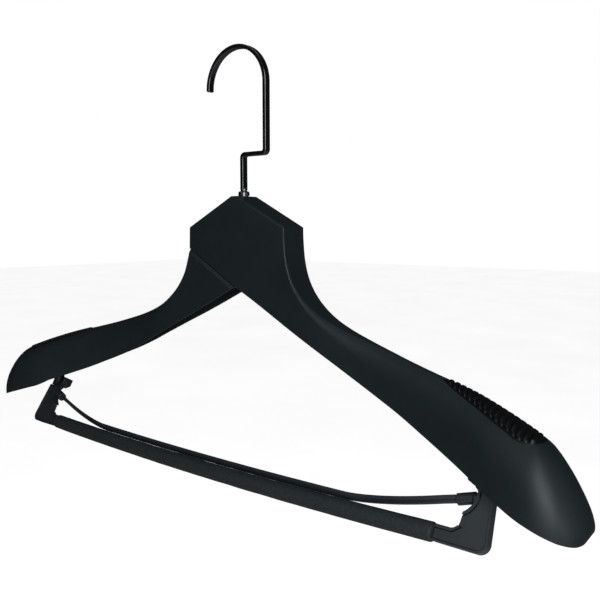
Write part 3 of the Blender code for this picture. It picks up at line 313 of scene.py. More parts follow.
# Sections of an arm beyond the head corner, as shares of its reach, drop and bow
Station = namedtuple("Station", "top_x top_z low_x low_z bow fullness softness arch")
STATIONS = (
    Station(0.1805, 0.0671, 0.0745, 0.3450, 0.000, 0.13, 0.12, 0.03),
    Station(0.1867, 0.1490, 0.1139, 0.3800, 0.006, 0.13, 0.14, 0.04),
    Station(0.2016, 0.2236, 0.1577, 0.4188, 0.023, 0.12, 0.20, 0.06),
    Station(0.2279, 0.2907, 0.2060, 0.4612, 0.046, 0.10, 0.28, 0.10),
    Station(0.2629, 0.3465, 0.2563, 0.5037, 0.069, 0.08, 0.38, 0.17),
    Station(0.3068, 0.3949, 0.3068, 0.5469, 0.083, 0.05, 0.52, 0.27),
    Station(0.3593, 0.4337, 0.3593, 0.5917, 0.094, 0.02, 0.70, 0.40),
    Station(0.4163, 0.4665, 0.4163, 0.6409, 0.103, 0.00, 0.86, 0.52),
    Station(0.4820, 0.4992, 0.4820, 0.6922, 0.137, 0.02, 1.00, 0.64),
    Station(0.5478, 0.5305, 0.5478, 0.7385, 0.200, 0.08, 1.00, 0.73),
    Station(0.6135, 0.5588, 0.6135, 0.7839, 0.271, 0.24, 1.00, 0.80),
    Station(0.6792, 0.5857, 0.6792, 0.8256, 0.343, 0.48, 1.00, 0.84),
    Station(0.7450, 0.6162, 0.7450, 0.8659, 0.440, 0.72, 1.00, 0.87),
    Station(0.8107, 0.6520, 0.8107, 0.9076, 0.571, 0.92, 1.00, 0.89),
    Station(0.8676, 0.6871, 0.8676, 0.9412, 0.686, 1.01, 1.00, 0.90),
    Station(0.9071, 0.7168, 0.9071, 0.9605, 0.760, 0.98, 1.00, 0.90),
    Station(0.9400, 0.7765, 0.9400, 0.9784, 0.800, 0.84, 1.00, 0.90),
    Station(0.9663, 0.8435, 0.9632, 0.9925, 0.809, 0.64, 1.00, 0.90),
    Station(0.9851, 0.9031, 0.9842, 1.0000, 0.811, 0.36, 1.00, 0.88),
    Station(0.9965, 0.9493, 0.9947, 0.9985, 0.811, 0.01, 1.00, 0.80),
    Station(1.0000, 0.9687, 0.9987, 0.9881, 0.811, -0.32, 1.00, 0.70),
)


# Settings


def length_setting(name, description, default, low, high):
    return bpy.props.FloatProperty(
        name=name, description=description, default=default, min=low, max=high, unit="LENGTH"
    )


def colour_setting(name, description, default):
    return bpy.props.FloatVectorProperty(
        name=name, description=description, default=default, subtype="COLOR", size=3, min=0.0, max=1.0
    )


def power_setting(name, description, default):
    return bpy.props.FloatProperty(
        name=name, description=description, default=default, min=0.0, subtype="POWER"
    )


class HangerShape(bpy.types.PropertyGroup):
    wall: length_setting("Arm wall", "Wall thickness of the hollow arms", 0.0024, 0.0015, 0.004)
    rib_height: length_setting(
        "Pad rib height",
        "Height of the ribs of the shoulder pads over the field between them",
        0.0011,
        0.0002,
        0.002,
    )
    strip_edge: length_setting(
        "Hook edge radius", "Radius of the four edges of the hook's strip", 0.0005, 0.0001, 0.0012
    )
    moulded_edge: length_setting(
        "Moulded edge radius", "Radius of the edges of the small plastic parts", 0.00022, 0.00005, 0.0005
    )
    foam_unevenness: length_setting(
        "Foam unevenness", "How far the foam of the bar swells and shrinks along it", 0.00012, 0.0, 0.0005
    )


class HangerFinish(bpy.types.PropertyGroup):
    arms: colour_setting("Arms", "Colour of the soft-touch arms", (0.0068, 0.0134, 0.0160))
    pads: colour_setting("Shoulder pads", "Colour of the ribbed rubber pads", (0.0018, 0.0026, 0.0030))
    foam: colour_setting("Foam", "Colour of the foam on the trouser bar", (0.011, 0.016, 0.018))
    plastic: colour_setting(
        "Brackets", "Colour of the moulded brackets and of the coated rod", (0.019, 0.025, 0.030)
    )
    nickel: colour_setting("Hook", "Colour of the hook's black plating", (0.10, 0.103, 0.11))
    steel: colour_setting("Steel", "Colour of the bright steel parts", (0.12, 0.13, 0.14))


class HangerStage(bpy.types.PropertyGroup):
    floor_height: bpy.props.FloatProperty(
        name="Floor height",
        description="Height of the floor, under the rail seat",
        default=-0.62,
        unit="LENGTH",
    )
    floor_colour: colour_setting("Floor colour", "Colour of the plain floor", (0.93, 0.93, 0.93))
    room_light: bpy.props.FloatProperty(
        name="Room light",
        description="Strength of the even light from all round",
        default=0.03,
        min=0.0,
    )
    key_power: power_setting("Key light", "Power of the soft light close to the right shoulder", 3.0)
    left_power: power_setting("Left light", "Power of the soft light in front of the left arm", 0.15)
    low_power: power_setting(
        "Low light", "Power of the soft light in front of the hanger and under it", 0.55
    )
    far_power: power_setting(
        "Far lights", "Power of each of the three soft lights above and at the right", 0.9
    )


# Placing and joining


def seat_height():
    """The hook's inner face straight above the stem, over the head's corners."""
    inner_radius = ARCH_RADIUS - STRIP_THICKNESS / 2
    return ARCH_HEIGHT + math.sqrt(inner_radius**2 - ARCH_OFFSET**2)


def head_frame():
    return Matrix.Translation((0, 0, -seat_height()))


def pivot_place():
    """The origin of the bar's frame: under and in front of the arms at the mounts."""
    shape = section_at(MOUNT_X, arm_sections())
    return Vector((0, shape.centre - PIVOT_FORWARD, shape.low.y - PIVOT_BELOW))


def bar_frame():
    lean = Matrix.Rotation(-FRAME_LEAN, 4, "X")
    return head_frame() @ Matrix.Translation(pivot_place()) @ lean


def clamp_frame():
    return bar_frame() @ Matrix.Translation((0, 0, CLAMP_RISE))


def moved(location, turn=0.0):
    """A place turned about X."""
    return Matrix.Translation(location) @ Matrix.Rotation(turn, 4, "X")


def solid(name, bm, place):
    """Turns a bmesh into an object whose mesh holds its place."""
    bmesh.ops.transform(bm, matrix=place, verts=bm.verts)
    bmesh.ops.remove_doubles(bm, verts=bm.verts, dist=WELD)
    bmesh.ops.recalc_face_normals(bm, faces=bm.faces)
    mesh = bpy.data.meshes.new(name)
    bm.to_mesh(mesh)
    bm.free()
    made = bpy.data.objects.new(name, mesh)
    bpy.context.scene.collection.objects.link(made)
    return made


def soften(made):
    made.data.shade_smooth()
    made.data.set_sharp_from_angle(angle=SHARP_ANGLE)


def baked(made):
    """Applies the modifiers of an object."""
    bpy.context.view_layer.update()
    graph = bpy.context.evaluated_depsgraph_get()
    mesh = bpy.data.meshes.new_from_object(made.evaluated_get(graph))
    made.modifiers.clear()
    old = made.data
    made.data = mesh
    name = made.name
    bpy.data.meshes.remove(old)
    mesh.name = name
    return made


def combine(made, other, operation):
    """Applies a Boolean of another object to this one, and removes the other."""
    modifier = made.modifiers.new(operation.title(), "BOOLEAN")
    modifier.operation = operation
    modifier.object = other
    modifier.solver = "EXACT"
    baked(made)
    used = other.data
    bpy.data.objects.remove(other)
    bpy.data.meshes.remove(used)
    return made


def cut(made, other):
    return combine(made, other, "DIFFERENCE")


def join(made, other):
    return combine(made, other, "UNION")


def rounded(made, width):
    """Rounds every edge sharper than ROUNDED_ANGLE."""
    modifier = made.modifiers.new("Edges", "BEVEL")
    modifier.width = width
    modifier.segments = ROUNDED_SEGMENTS
    modifier.limit_method = "ANGLE"
    modifier.angle_limit = ROUNDED_ANGLE
    modifier.use_clamp_overlap = True
    baked(made)
    soften(made)
    weighted = made.modifiers.new("Normals", "WEIGHTED_NORMAL")
    weighted.keep_sharp = True
    return baked(made)


def paint(made, finish):
    """Gives an object the material of that name, and no other."""
    made.data.materials.clear()
    made.data.materials.append(bpy.data.materials[finish])


def dress(made, finish, body, slot, *nodes):
    """Gives a finished piece its finish, its body and the CAD nodes it stands for."""
    if not made.data.has_custom_normals:
        soften(made)
    paint(made, finish)
    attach(made, body)
    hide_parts(*nodes)


def dress_node(name, finish):
    """Gives a carried-over CAD node its finish."""
    paint(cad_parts[name], finish)


# Shapes


def extruded(rings):
    """A closed body: the first ring's face is extruded from ring to ring."""
    bm = bmesh.new()
    face = bm.faces.new([bm.verts.new(point) for point in rings[0]])
    for ring in rings[1:]:
        made = bmesh.ops.extrude_face_region(bm, geom=[face, *face.edges, *face.verts])
        face = next(item for item in made["geom"] if isinstance(item, bmesh.types.BMFace))
        for vert, point in zip(face.verts, ring):
            vert.co = point
    return bm


def prism(outline, low_y, high_y):
    """A flat outline in X and Z, extruded along Y."""
    return extruded([[(x, y, z) for x, z in outline] for y in (low_y, high_y)])


def block(low, high):
    outline = ((low[0], low[2]), (high[0], low[2]), (high[0], high[2]), (low[0], high[2]))
    return prism(outline, low[1], high[1])


def turned(profile, steps=ROUND):
    """A profile of (radius, height) points, from axis to axis or closed, spun round Z."""
    bm = bmesh.new()
    verts = [bm.verts.new((radius, 0, height)) for radius, height in profile]
    pairs = list(zip(verts, verts[1:]))
    if profile[0][0] > 0:
        pairs.append((verts[-1], verts[0]))
    edges = [bm.edges.new(pair) for pair in pairs]
    bmesh.ops.spin(
        bm,
        geom=verts + edges,
        cent=(0, 0, 0),
        axis=(0, 0, 1),
        dvec=(0, 0, 0),
        angle=math.tau,
        steps=steps,
        use_merge=True,
    )
    bmesh.ops.remove_doubles(bm, verts=bm.verts, dist=WELD)
    return bm


def cylinder(radius, low, high, steps=ROUND):
    return turned(((0, low), (radius, low), (radius, high), (0, high)), steps)


def along_x(body, sign):
    """Lays a body that was turned round Z along X, its top towards the given side."""
    bmesh.ops.rotate(body, matrix=Matrix.Rotation(math.pi / 2, 3, "Y"), verts=body.verts)
    bmesh.ops.scale(body, vec=(sign, 1, 1), verts=body.verts)
    return body


def arc(centre, radius, start, end, steps):
    """Points of an arc from one angle to another, both ends included."""
    angles = (start + (end - start) * step / steps for step in range(steps + 1))
    return [(centre[0] + radius * math.cos(a), centre[1] + radius * math.sin(a)) for a in angles]


def lerp(a, b, share):
    return a + (b - a) * share


def smooth_step(low, high, value):
    share = min(max((value - low) / (high - low), 0.0), 1.0)
    return share * share * (3 - 2 * share)


# Sections of the arms and the head


def section(top, low, centre, half, crest_width, crest_height):
    share = max(low[0], 0.0) / ARM_REACH
    tilt = RIM_TILT * share * max(1 - share**RIM_TILT_FADE, 0.0)
    return Section(Vector(top), Vector(low), centre, half, crest_width, crest_height, tilt)


def between(near, far, share):
    return Section(*(lerp(a, b, share) for a, b in zip(near, far)))


def through(before, start, end, after, share):
    """A value on the smooth curve that passes from start to end."""
    square = share * share
    cube = square * share
    leave = (end - before) / 2 * (cube - 2 * square + share)
    arrive = (after - start) / 2 * (cube - square)
    return start * (2 * cube - 3 * square + 1) + end * (3 * square - 2 * cube) + leave + arrive


def smooth(sections):
    """Sections on a smooth curve through the given ones."""
    made = []
    last = len(sections) - 1
    for index in range(last):
        before = sections[max(index - 1, 0)]
        start = sections[index]
        end = sections[index + 1]
        after = sections[min(index + 2, last)]
        for step in range(STATION_STEPS):
            share = step / STATION_STEPS
            values = zip(before, start, end, after)
            made.append(Section(*(through(a, b, c, d, share) for a, b, c, d in values)))
    made.append(sections[-1])
    return made


def station_section(station):
    top = (station.top_x * ARM_REACH, -station.top_z * ARM_DROP)
    low = (station.low_x * ARM_REACH, -station.low_z * ARM_DROP)
    height = math.dist(top, low)
    half = lerp(NECK_HALF_DEPTH, SHOULDER_HALF_DEPTH, station.fullness)
    centre = -station.bow * ARM_BOW
    return section(top, low, centre, half, station.softness * half, station.arch * height)


def head_section(top, low, inset=0.0):
    half = HEAD_THICKNESS / 2 - inset
    return section(top, low, 0.0, half, HEAD_EDGE_RADIUS, HEAD_EDGE_RADIUS)


def head_top(x):
    """Height of the head's outline over x."""
    slope = HEAD_RISE / (HEAD_HALF_WIDTH - HEAD_TOP_HALF_WIDTH)
    return HEAD_RISE - slope * max(abs(x) - HEAD_TOP_HALF_WIDTH, 0.0)


def joint_height(x):
    """Height of the joint line over x, from the notch to the head's left side."""
    return lerp(-NOTCH_DROP, -JOINT_DROP, abs(x) / (HEAD_HALF_WIDTH + SIDE_FLARE))


def corner_low():
    first = station_section(STATIONS[0]).low
    return Vector((0.0, -NOTCH_DROP)).lerp(first, CORNER_LOW_SHARE)


def head_corner():
    return head_section((HEAD_HALF_WIDTH, 0.0), corner_low())


def arm_sections():
    """Sections from the head's corner to the tip."""
    return smooth([head_corner()] + [station_section(station) for station in STATIONS])


def right_sections():
    """The head from its left side to its right corner, and then the right arm."""
    made = []
    for x, height in arc((0, 0), HEAD_EDGE_RADIUS, math.pi, math.pi / 2, EDGE_STEPS):
        shift = HEAD_EDGE_RADIUS + x
        place = -HEAD_HALF_WIDTH + shift
        low = (place - SIDE_FLARE, joint_height(place))
        made.append(head_section((place, head_top(place)), low, HEAD_EDGE_RADIUS - height))
    for place in (-HEAD_HALF_WIDTH * 2 / 3, -HEAD_HALF_WIDTH / 3):
        made.append(head_section((place, head_top(place)), (place, joint_height(place))))
    notch = Vector((0.0, -NOTCH_DROP))
    corner = corner_low()
    middle = HEAD_HALF_WIDTH / 2
    made.append(head_section((-HEAD_TOP_HALF_WIDTH, HEAD_RISE), notch))
    made.append(head_section((HEAD_TOP_HALF_WIDTH, HEAD_RISE), notch.lerp(corner, TOP_LOW_SHARE)))
    made.append(head_section((middle, head_top(middle)), notch.lerp(corner, 0.5)))
    return made + arm_sections()


def left_sections():
    """The left arm, mirrored to +X: its joint face, the chamfer behind it and the arm."""
    arm = [station_section(station) for station in STATIONS]
    side = Vector((HEAD_HALF_WIDTH + SIDE_FLARE, -JOINT_DROP))
    notch = Vector((0.0, -NOTCH_DROP))
    down_side = (arm[1].top - side).normalized()
    down_edge = (arm[1].low - notch).normalized()
    half = HEAD_THICKNESS / 2

    def across(distance, inset):
        return section(
            side + down_side * distance,
            notch + down_edge * distance * JOINT_FAN,
            0.0,
            half - inset,
            HEAD_EDGE_RADIUS,
            HEAD_EDGE_RADIUS,
        )

    face = across(JOINT_GROOVE, JOINT_CHAMFER)
    shoulder = across(JOINT_GROOVE + JOINT_CHAMFER_RUN, 0.0)
    return [face] + smooth([shoulder] + arm[1:])


def inner(outer, wall, below):
    """The section of the hollow inside one, reaching below its lower edge."""
    up = (outer.top - outer.low).normalized()
    soft = max(outer.crest_width - wall, HOLLOW_EDGE_RADIUS)
    arch = max(outer.crest_height - wall, HOLLOW_EDGE_RADIUS)
    top = outer.top - up * CREST_WALL
    low = outer.low - up * below
    return Section(top, low, outer.centre, outer.half - wall, soft, arch, outer.tilt)


def section_ring(shape, sign=1):
    """Points round a section, from the front foot over the crest to the back foot."""
    height = (shape.top - shape.low).length
    up = (shape.top - shape.low).normalized()
    face = height - shape.crest_height
    front = [(-shape.half, face * step / WALL_STEPS) for step in range(WALL_STEPS)]
    flat = max(shape.half - shape.crest_width, 0.0)
    for step in range(CREST_STEPS + 1):
        angle = math.pi / 2 * step / CREST_STEPS
        across = flat + shape.crest_width * math.cos(angle)
        front.append((-across, face + shape.crest_height * math.sin(angle)))
    back = [(-across, rise) for across, rise in reversed(front)]
    points = []
    for across, rise in front + back:
        spot = shape.low + up * rise
        lift = shape.tilt * (0.5 + across / shape.half / 2) * (1 - rise / height)
        points.append((sign * spot.x, shape.centre + across, spot.y + lift))
    return points


def section_at(x, sections):
    """The section over x, where the sections stand upright."""
    for near, far in zip(sections, sections[1:]):
        if near.top.x <= x <= far.top.x:
            return between(near, far, (x - near.top.x) / (far.top.x - near.top.x))
    raise ValueError("x lies outside the arm")


# Arms and head


def post_frame(sign):
    return head_frame() @ moved((sign * MOUNT_X, pivot_place().y + POST_SET_BACK, 0))


def boss_foot(sections):
    return section_at(MOUNT_X, sections).low.y + POST_BOSS_SET_BACK


def short_of_tip(sections, wall):
    """The sections that the hollow follows, which end a wall short of the tip."""
    return [shape for shape in sections if shape.top.x < ARM_REACH - wall * 2]


def arm_hollow(sections, arm, sign, wall):
    """The cutter for an arm's hollow, with its ribs and the post's boss left standing."""
    place = head_frame()
    rings = [section_ring(inner(shape, wall, HOLLOW_OVERRUN), sign) for shape in sections]
    hollow = solid("hollow", extruded(rings), place)
    for share in RIB_SHARES:
        rib_x = share * ARM_REACH
        foot = section_at(rib_x, arm).low.y + RIB_SET_BACK
        low = (rib_x - RIB_THICKNESS / 2, -2 * ARM_BOW, foot)
        rib = block(low, (rib_x + RIB_THICKNESS / 2, 2 * ARM_BOW, 0.0))
        bmesh.ops.scale(rib, vec=(sign, 1, 1), verts=rib.verts)
        cut(hollow, solid("rib", rib, place))
    boss = cylinder(POST_RADIUS + GAP + POST_BOSS_WALL, boss_foot(arm), 0.0)
    return cut(hollow, solid("boss", boss, post_frame(sign)))


def post_hole(arm, sign):
    foot = boss_foot(arm)
    hole = cylinder(POST_RADIUS + GAP, foot - CUT, foot + POST_LENGTH)
    return solid("hole", hole, post_frame(sign))


def stem_bore():
    return STEM_RADIUS + RUNNING_GAP + FERRULE_WALL + GAP


def screw_hole(spot):
    """A hole from the head's back face, countersunk, through to the tongue's boss."""
    reach = SCREW_RADIUS + GAP
    mouth = SCREW_HEAD_RADIUS + GAP
    profile = (
        (0, -SCREW_LENGTH - CUT),
        (reach, -SCREW_LENGTH - CUT),
        (reach, -SCREW_HEAD_DEPTH),
        (mouth, 0),
        (mouth, CUT),
        (0, CUT),
    )
    back = moved((spot[0], HEAD_THICKNESS / 2, spot[1]), -math.pi / 2)
    return solid("hole", turned(profile, SMALL_ROUND), head_frame() @ back)


def right_arm(shape):
    sections = right_sections()
    arm = arm_sections()
    place = head_frame()
    made = solid("arm_right_shell", extruded([section_ring(one) for one in sections]), place)
    cut(made, pad_recess(1, arm, shape))
    cut(made, post_hole(arm, 1))
    bore = cylinder(stem_bore(), -CUT, HEAD_RISE + CUT)
    cut(made, solid("bore", bore, place))
    for spot in TONGUE_BOSSES:
        cut(made, screw_hole(spot))
    side = -HEAD_HALF_WIDTH + shape.wall
    start = head_section((side, head_top(side)), (side, joint_height(side)))
    rest = short_of_tip(sections[EDGE_STEPS + 1 :], shape.wall)
    hollow = arm_hollow([start] + rest, arm, 1, shape.wall)
    boss = cylinder(stem_bore() + STEM_BOSS_WALL, STEM_BOSS_FOOT, HEAD_RISE + CUT)
    cut(hollow, solid("boss", boss, place))
    return cut(made, hollow)


def tongue(wall):
    """The tongue from the left arm's joint face up into the head, with its two bosses."""
    side = -HEAD_HALF_WIDTH + wall + TONGUE_SIDE_GAP
    root = joint_height(side) - TONGUE_ROOT
    middle = -TONGUE_INNER_FOOT
    outline = (
        (side, root),
        (side, root + TONGUE_SIDE_HEIGHT),
        (side + TONGUE_SLOPE_RUN, TONGUE_TOP),
        (TONGUE_TOP_REACH, TONGUE_TOP),
        (TONGUE_RIGHT, TONGUE_TOP - TONGUE_CORNER / 2),
        (TONGUE_RIGHT, TONGUE_FOOT + TONGUE_CORNER / 2),
        (TONGUE_RIGHT - TONGUE_CORNER, TONGUE_FOOT),
        (TONGUE_INNER_FOOT, TONGUE_FOOT),
        (middle, joint_height(middle) - TONGUE_ROOT),
    )
    half = TONGUE_THICKNESS / 2
    place = head_frame()
    made = solid("tongue", prism(outline, -half, half), place)
    reach = HEAD_THICKNESS / 2 - wall - GAP
    for x, z in TONGUE_BOSSES:
        boss = cylinder(TONGUE_BOSS_RADIUS, -reach, reach, SMALL_ROUND)
        join(made, solid("boss", boss, place @ moved((x, 0, z), math.pi / 2)))
        cut(made, screw_hole((x, z)))
    return made


def left_arm(shape):
    sections = left_sections()
    arm = arm_sections()
    rings = [section_ring(one, -1) for one in sections]
    made = solid("arm_left_shell", extruded(rings), head_frame())
    join(made, tongue(shape.wall))
    cut(made, pad_recess(-1, arm, shape))
    cut(made, post_hole(arm, -1))
    rest = short_of_tip(sections[1:], shape.wall)
    return cut(made, arm_hollow(rest, arm, -1, shape.wall))


# Shoulder pads


def pad_width(x, grow):
    """Half width of the pad over x: a leaf that is widest near the shoulder's end."""
    full = PAD_HALF_WIDTH + grow
    if x < PAD_WIDEST:
        share = (x - PAD_START + grow) / (PAD_WIDEST - PAD_START + grow)
        width = full * max(share, 0.0) ** PAD_TAPER
    else:
        share = (x - PAD_WIDEST) / (PAD_END - PAD_WIDEST + grow)
        width = full * math.sqrt(max(1 - share**2, 0.0))
    return max(width, PAD_HALF_WIDTH * PAD_POINT_SHARE)


def crest_point(shape, across, lift):
    """A point over the crest, measured across it and out of its surface."""
    angle = math.asin(max(-1.0, min(1.0, across / shape.crest_width)))
    rise = shape.crest_height * math.cos(angle)
    normal = Vector((0, math.sin(angle) / shape.crest_width, math.cos(angle) / shape.crest_height))
    normal.normalize()
    base = shape.top.y - shape.crest_height
    return Vector((0, shape.centre + across, base + rise)) + normal * lift


def pad_places(grow, steps):
    """Where the rings of a pad lie: close at its round ends, and evenly along its ribs."""
    start = PAD_START - grow
    end = PAD_END + grow
    first = PAD_START + PAD_MARGIN
    last = PAD_END - PAD_MARGIN
    middle = [lerp(first, last, step / steps) for step in range(steps + 1)]
    nose = [lerp(start, first, share) for share in PAD_END_SHARES]
    tail = [lerp(end, last, share) for share in reversed(PAD_END_SHARES)]
    return nose + middle + tail


def pad_body(sign, arm, grow, floor, face, steps, columns):
    """A band that follows the crest. face gives its outer side's height over x and across."""
    rings = []
    for x in pad_places(grow, steps):
        shape = section_at(x, arm)
        width = pad_width(x, grow)
        spots = [-width * math.cos(math.pi * index / columns) for index in range(columns + 1)]
        outer = [crest_point(shape, across, face(x, across)) for across in spots]
        under = [crest_point(shape, across, floor) for across in reversed(spots)]
        rings.append([(sign * x, point.y, point.z) for point in outer + under])
    return solid("pad", extruded(rings), head_frame())


def pad_recess(sign, arm, shape):
    def far_out(x, across):
        return shape.rib_height * 2

    rings = RIB_COUNT * RECESS_RINGS_PER_RIB
    return pad_body(sign, arm, GAP, -PAD_DEPTH - GAP, far_out, rings, RECESS_COLUMNS)


def shoulder_pad(name, sign, shape):
    start = PAD_START + PAD_MARGIN
    end = PAD_END - PAD_MARGIN

    def face(x, across):
        """Rounded ribs inside a plain border whose edge is rounded off."""
        to_side = pad_width(x, 0.0) - abs(across)
        share = (x - start) / (end - start)
        drop = PAD_EDGE_DROP * (1 - smooth_step(0.0, PAD_EDGE_DROP * 2, to_side))
        if not 0.0 < share < 1.0:
            return PAD_FACE - drop
        wave = min(1.0, RIB_FULLNESS * (0.5 - 0.5 * math.cos(math.tau * share * RIB_COUNT)))
        field = smooth_step(PAD_BORDER / 2, PAD_BORDER * 1.5, to_side)
        return PAD_FACE + shape.rib_height * wave * field - drop

    rings = RIB_COUNT * PAD_RINGS_PER_RIB
    made = pad_body(sign, arm_sections(), 0.0, -PAD_DEPTH, face, rings, PAD_COLUMNS)
    made.name = name
    return made


# Hook and ferrule


def strip_foot():
    return HEAD_RISE + 2 * GAP + FLANGE_HEIGHT


def hook_path():
    """Centre line of the strip in X and Z, from its foot to its tip."""
    limb = ARCH_OFFSET + ARCH_RADIUS
    bend = JOG_BEND_RADIUS
    points = [(0.0, strip_foot())]
    points += arc((bend, JOG_HEIGHT - bend), bend, math.pi, math.pi / 2, BEND_STEPS)
    points += arc((limb - bend, JOG_HEIGHT + bend), bend, -math.pi / 2, 0, BEND_STEPS)
    points += arc((ARCH_OFFSET, ARCH_HEIGHT), ARCH_RADIUS, 0, math.pi, ARCH_STEPS)
    return [Vector(point) for point in points]


def rounded_rectangle(half_a, half_b, radius):
    """Corner points of a rectangle with rounded corners."""
    points = []
    for quarter, (sign_a, sign_b) in enumerate(((1, 1), (-1, 1), (-1, -1), (1, -1))):
        centre = (sign_a * (half_a - radius), sign_b * (half_b - radius))
        start = quarter * math.pi / 2
        points += arc(centre, radius, start, start + math.pi / 2, STRIP_CORNER_STEPS)
    return points


def strip_ring(point, along, edge, shrink=0.0):
    half_a = STRIP_THICKNESS / 2 - shrink
    half_b = STRIP_WIDTH / 2 - shrink
    side = Vector((-along.y, along.x))
    ring = []
    for a, b in rounded_rectangle(half_a, half_b, max(edge - shrink / 2, edge / 4)):
        spot = point + side * a
        ring.append((spot.x, b, spot.y))
    return ring


def hook(shape):
    path = hook_path()
    edge = shape.strip_edge
    up = Vector((0, 1))
    down = Vector((0, -1))
    rings = []
    for rise, shrink in arc((edge, edge), edge, -math.pi, -math.pi / 2, EDGE_STEPS):
        rings.append(strip_ring(path[0] + up * rise, up, edge, shrink))
    for before, point, after in zip(path, path[1:], path[2:]):
        rings.append(strip_ring(point, (after - before).normalized(), edge))
    for drop, shrink in arc((TIP_DROP, edge), edge, -math.pi / 2, 0, EDGE_STEPS):
        rings.append(strip_ring(path[-1] + down * drop, down, edge, shrink))
    made = solid("hook_strip", extruded(rings), head_frame())
    stem = cylinder(STEM_RADIUS, strip_foot() - STEM_LENGTH, strip_foot() + STEM_ROOT)
    return join(made, solid("stem", stem, head_frame()))


def ferrule():
    bore = STEM_RADIUS + RUNNING_GAP
    tube_radius = bore + FERRULE_WALL
    seat = HEAD_RISE + GAP
    shoulder = (FLANGE_RADIUS - FLANGE_BROW, seat + FLANGE_HEIGHT - FLANGE_BROW)
    profile = [
        (bore, STEM_BOSS_FOOT),
        (tube_radius, STEM_BOSS_FOOT),
        (tube_radius, seat),
        (FLANGE_RADIUS, seat),
    ]
    profile += arc(shoulder, FLANGE_BROW, 0, math.pi / 2, CORNER_STEPS)
    profile.append((bore, seat + FLANGE_HEIGHT))
    return solid("ferrule_collar", turned(profile), head_frame())


def cross_slots(made, reach, place):
    """Cuts a cross recess into a screw's head."""
    half = SCREW_SLOT_WIDTH / 2
    for turn in (0, math.pi / 2):
        slot = block((-reach, -half, -SCREW_SLOT_DEPTH), (reach, half, CUT))
        cut(made, solid("slot", slot, place @ Matrix.Rotation(turn, 4, "Z")))
    return made


def head_screw(name, spot):
    profile = (
        (0, -SCREW_LENGTH),
        (SCREW_RADIUS, -SCREW_LENGTH),
        (SCREW_RADIUS, -SCREW_HEAD_DEPTH),
        (SCREW_HEAD_RADIUS, -GAP),
        (SCREW_HEAD_RADIUS, 0),
        (0, 0),
    )
    place = head_frame() @ moved((spot[0], HEAD_THICKNESS / 2, spot[1]), -math.pi / 2)
    made = solid(name, turned(profile), place)
    cross_slots(made, SCREW_SLOT_REACH, place)
    return rounded(made, SCREW_EDGE)


# Trouser bar: x along the bar, y back and z up in the leaning plane


def bar_height(x):
    """Height of the sagging bar's axis over x."""
    share = min(abs(x) / SLEEVE_HALF_LENGTH, 1.0)
    return -BAR_DROP - BAR_SAG * (1 - share**2)


def bent_rod(radius, heights, reach, sides, ends=0.0, flat=1.0, twist=0.0, swell=0.0):
    """A rod along X whose axis follows heights(x). ends rounds its two edges, flat is its
    depth as a share of its height, twist turns that height towards the front, and swell makes
    it uneven."""
    turn = Matrix.Rotation(twist, 2)
    steps = ROD_STEPS
    places = [(reach * (2 * step / steps - 1), radius) for step in range(steps + 1)]
    if ends:
        edge = arc((reach - ends, radius - ends), ends, math.pi / 2, 0, CORNER_STEPS)
        mirrored_edge = [(-x, size) for x, size in reversed(edge)]
        places = mirrored_edge + [spot for spot in places if abs(spot[0]) < reach - ends] + edge
    rings = []
    for x, size in places:
        ring = []
        for y, z in arc((0, 0), 1.0, 0, math.tau * (sides - 1) / sides, sides - 1):
            spot = Vector((x / radius / SWELL_STRETCH, y, z))
            grown = size + swell * noise.noise(spot)
            across, up = turn @ Vector((y * grown * flat, z * grown))
            ring.append((x, across, heights(x) + up))
        rings.append(ring)
    return extruded(rings)


def bar_sleeve(shape):
    body = bent_rod(
        SLEEVE_RADIUS,
        bar_height,
        SLEEVE_HALF_LENGTH,
        SLEEVE_SIDES,
        SLEEVE_END_RADIUS,
        swell=shape.foam_unevenness,
    )
    made = solid("foam_bar_sleeve", body, bar_frame())
    bore = bent_rod(CORE_RADIUS + GAP, bar_height, SLEEVE_HALF_LENGTH + CUT, CORE_SIDES)
    return cut(made, solid("bore", bore, bar_frame()))


def bar_core():
    reach = FOOT_END + CORE_SOCKET_DEPTH - GAP
    core = bent_rod(CORE_RADIUS, bar_height, reach, CORE_SIDES)
    return solid("bar_core_rod", core, bar_frame())


def rod_rest():
    """How high over the bar's axis the twisted rod lies when it rests on the sleeve."""
    heights = []
    for degree in range(round(math.degrees(ROD_TWIST))):
        way = math.radians(degree)
        wide = ROD_HALF_WIDTH * math.cos(ROD_TWIST + way)
        thick = ROD_HALF_THICKNESS * math.sin(ROD_TWIST + way)
        reach = SLEEVE_RADIUS + ROD_REST_GAP + math.hypot(wide, thick)
        heights.append(reach / math.cos(way))
    return min(heights)


def rod_height(x):
    """Height of the rod over its pivots: it lies on the sleeve, then bends up to them."""
    clear = rod_rest() - CLAMP_RISE
    share = (abs(x) - ROD_REST_REACH) / (CAP_OUTER - ROD_REST_REACH)
    lift = -bar_height(CAP_OUTER) - clear
    return bar_height(x) + clear + lift * max(share, 0.0) ** ROD_RISE_POWER


def clamp_rod():
    flat = ROD_HALF_THICKNESS / ROD_HALF_WIDTH
    reach = CAP_OUTER - CAP_LENGTH / 2
    body = bent_rod(ROD_HALF_WIDTH, rod_height, reach, ROD_SIDES, flat=flat, twist=ROD_TWIST)
    made = solid("clamp_rod_bail", body, clamp_frame())
    for sign in (1, -1):
        cut(made, cap_blank("cap", sign, GAP))
    return made


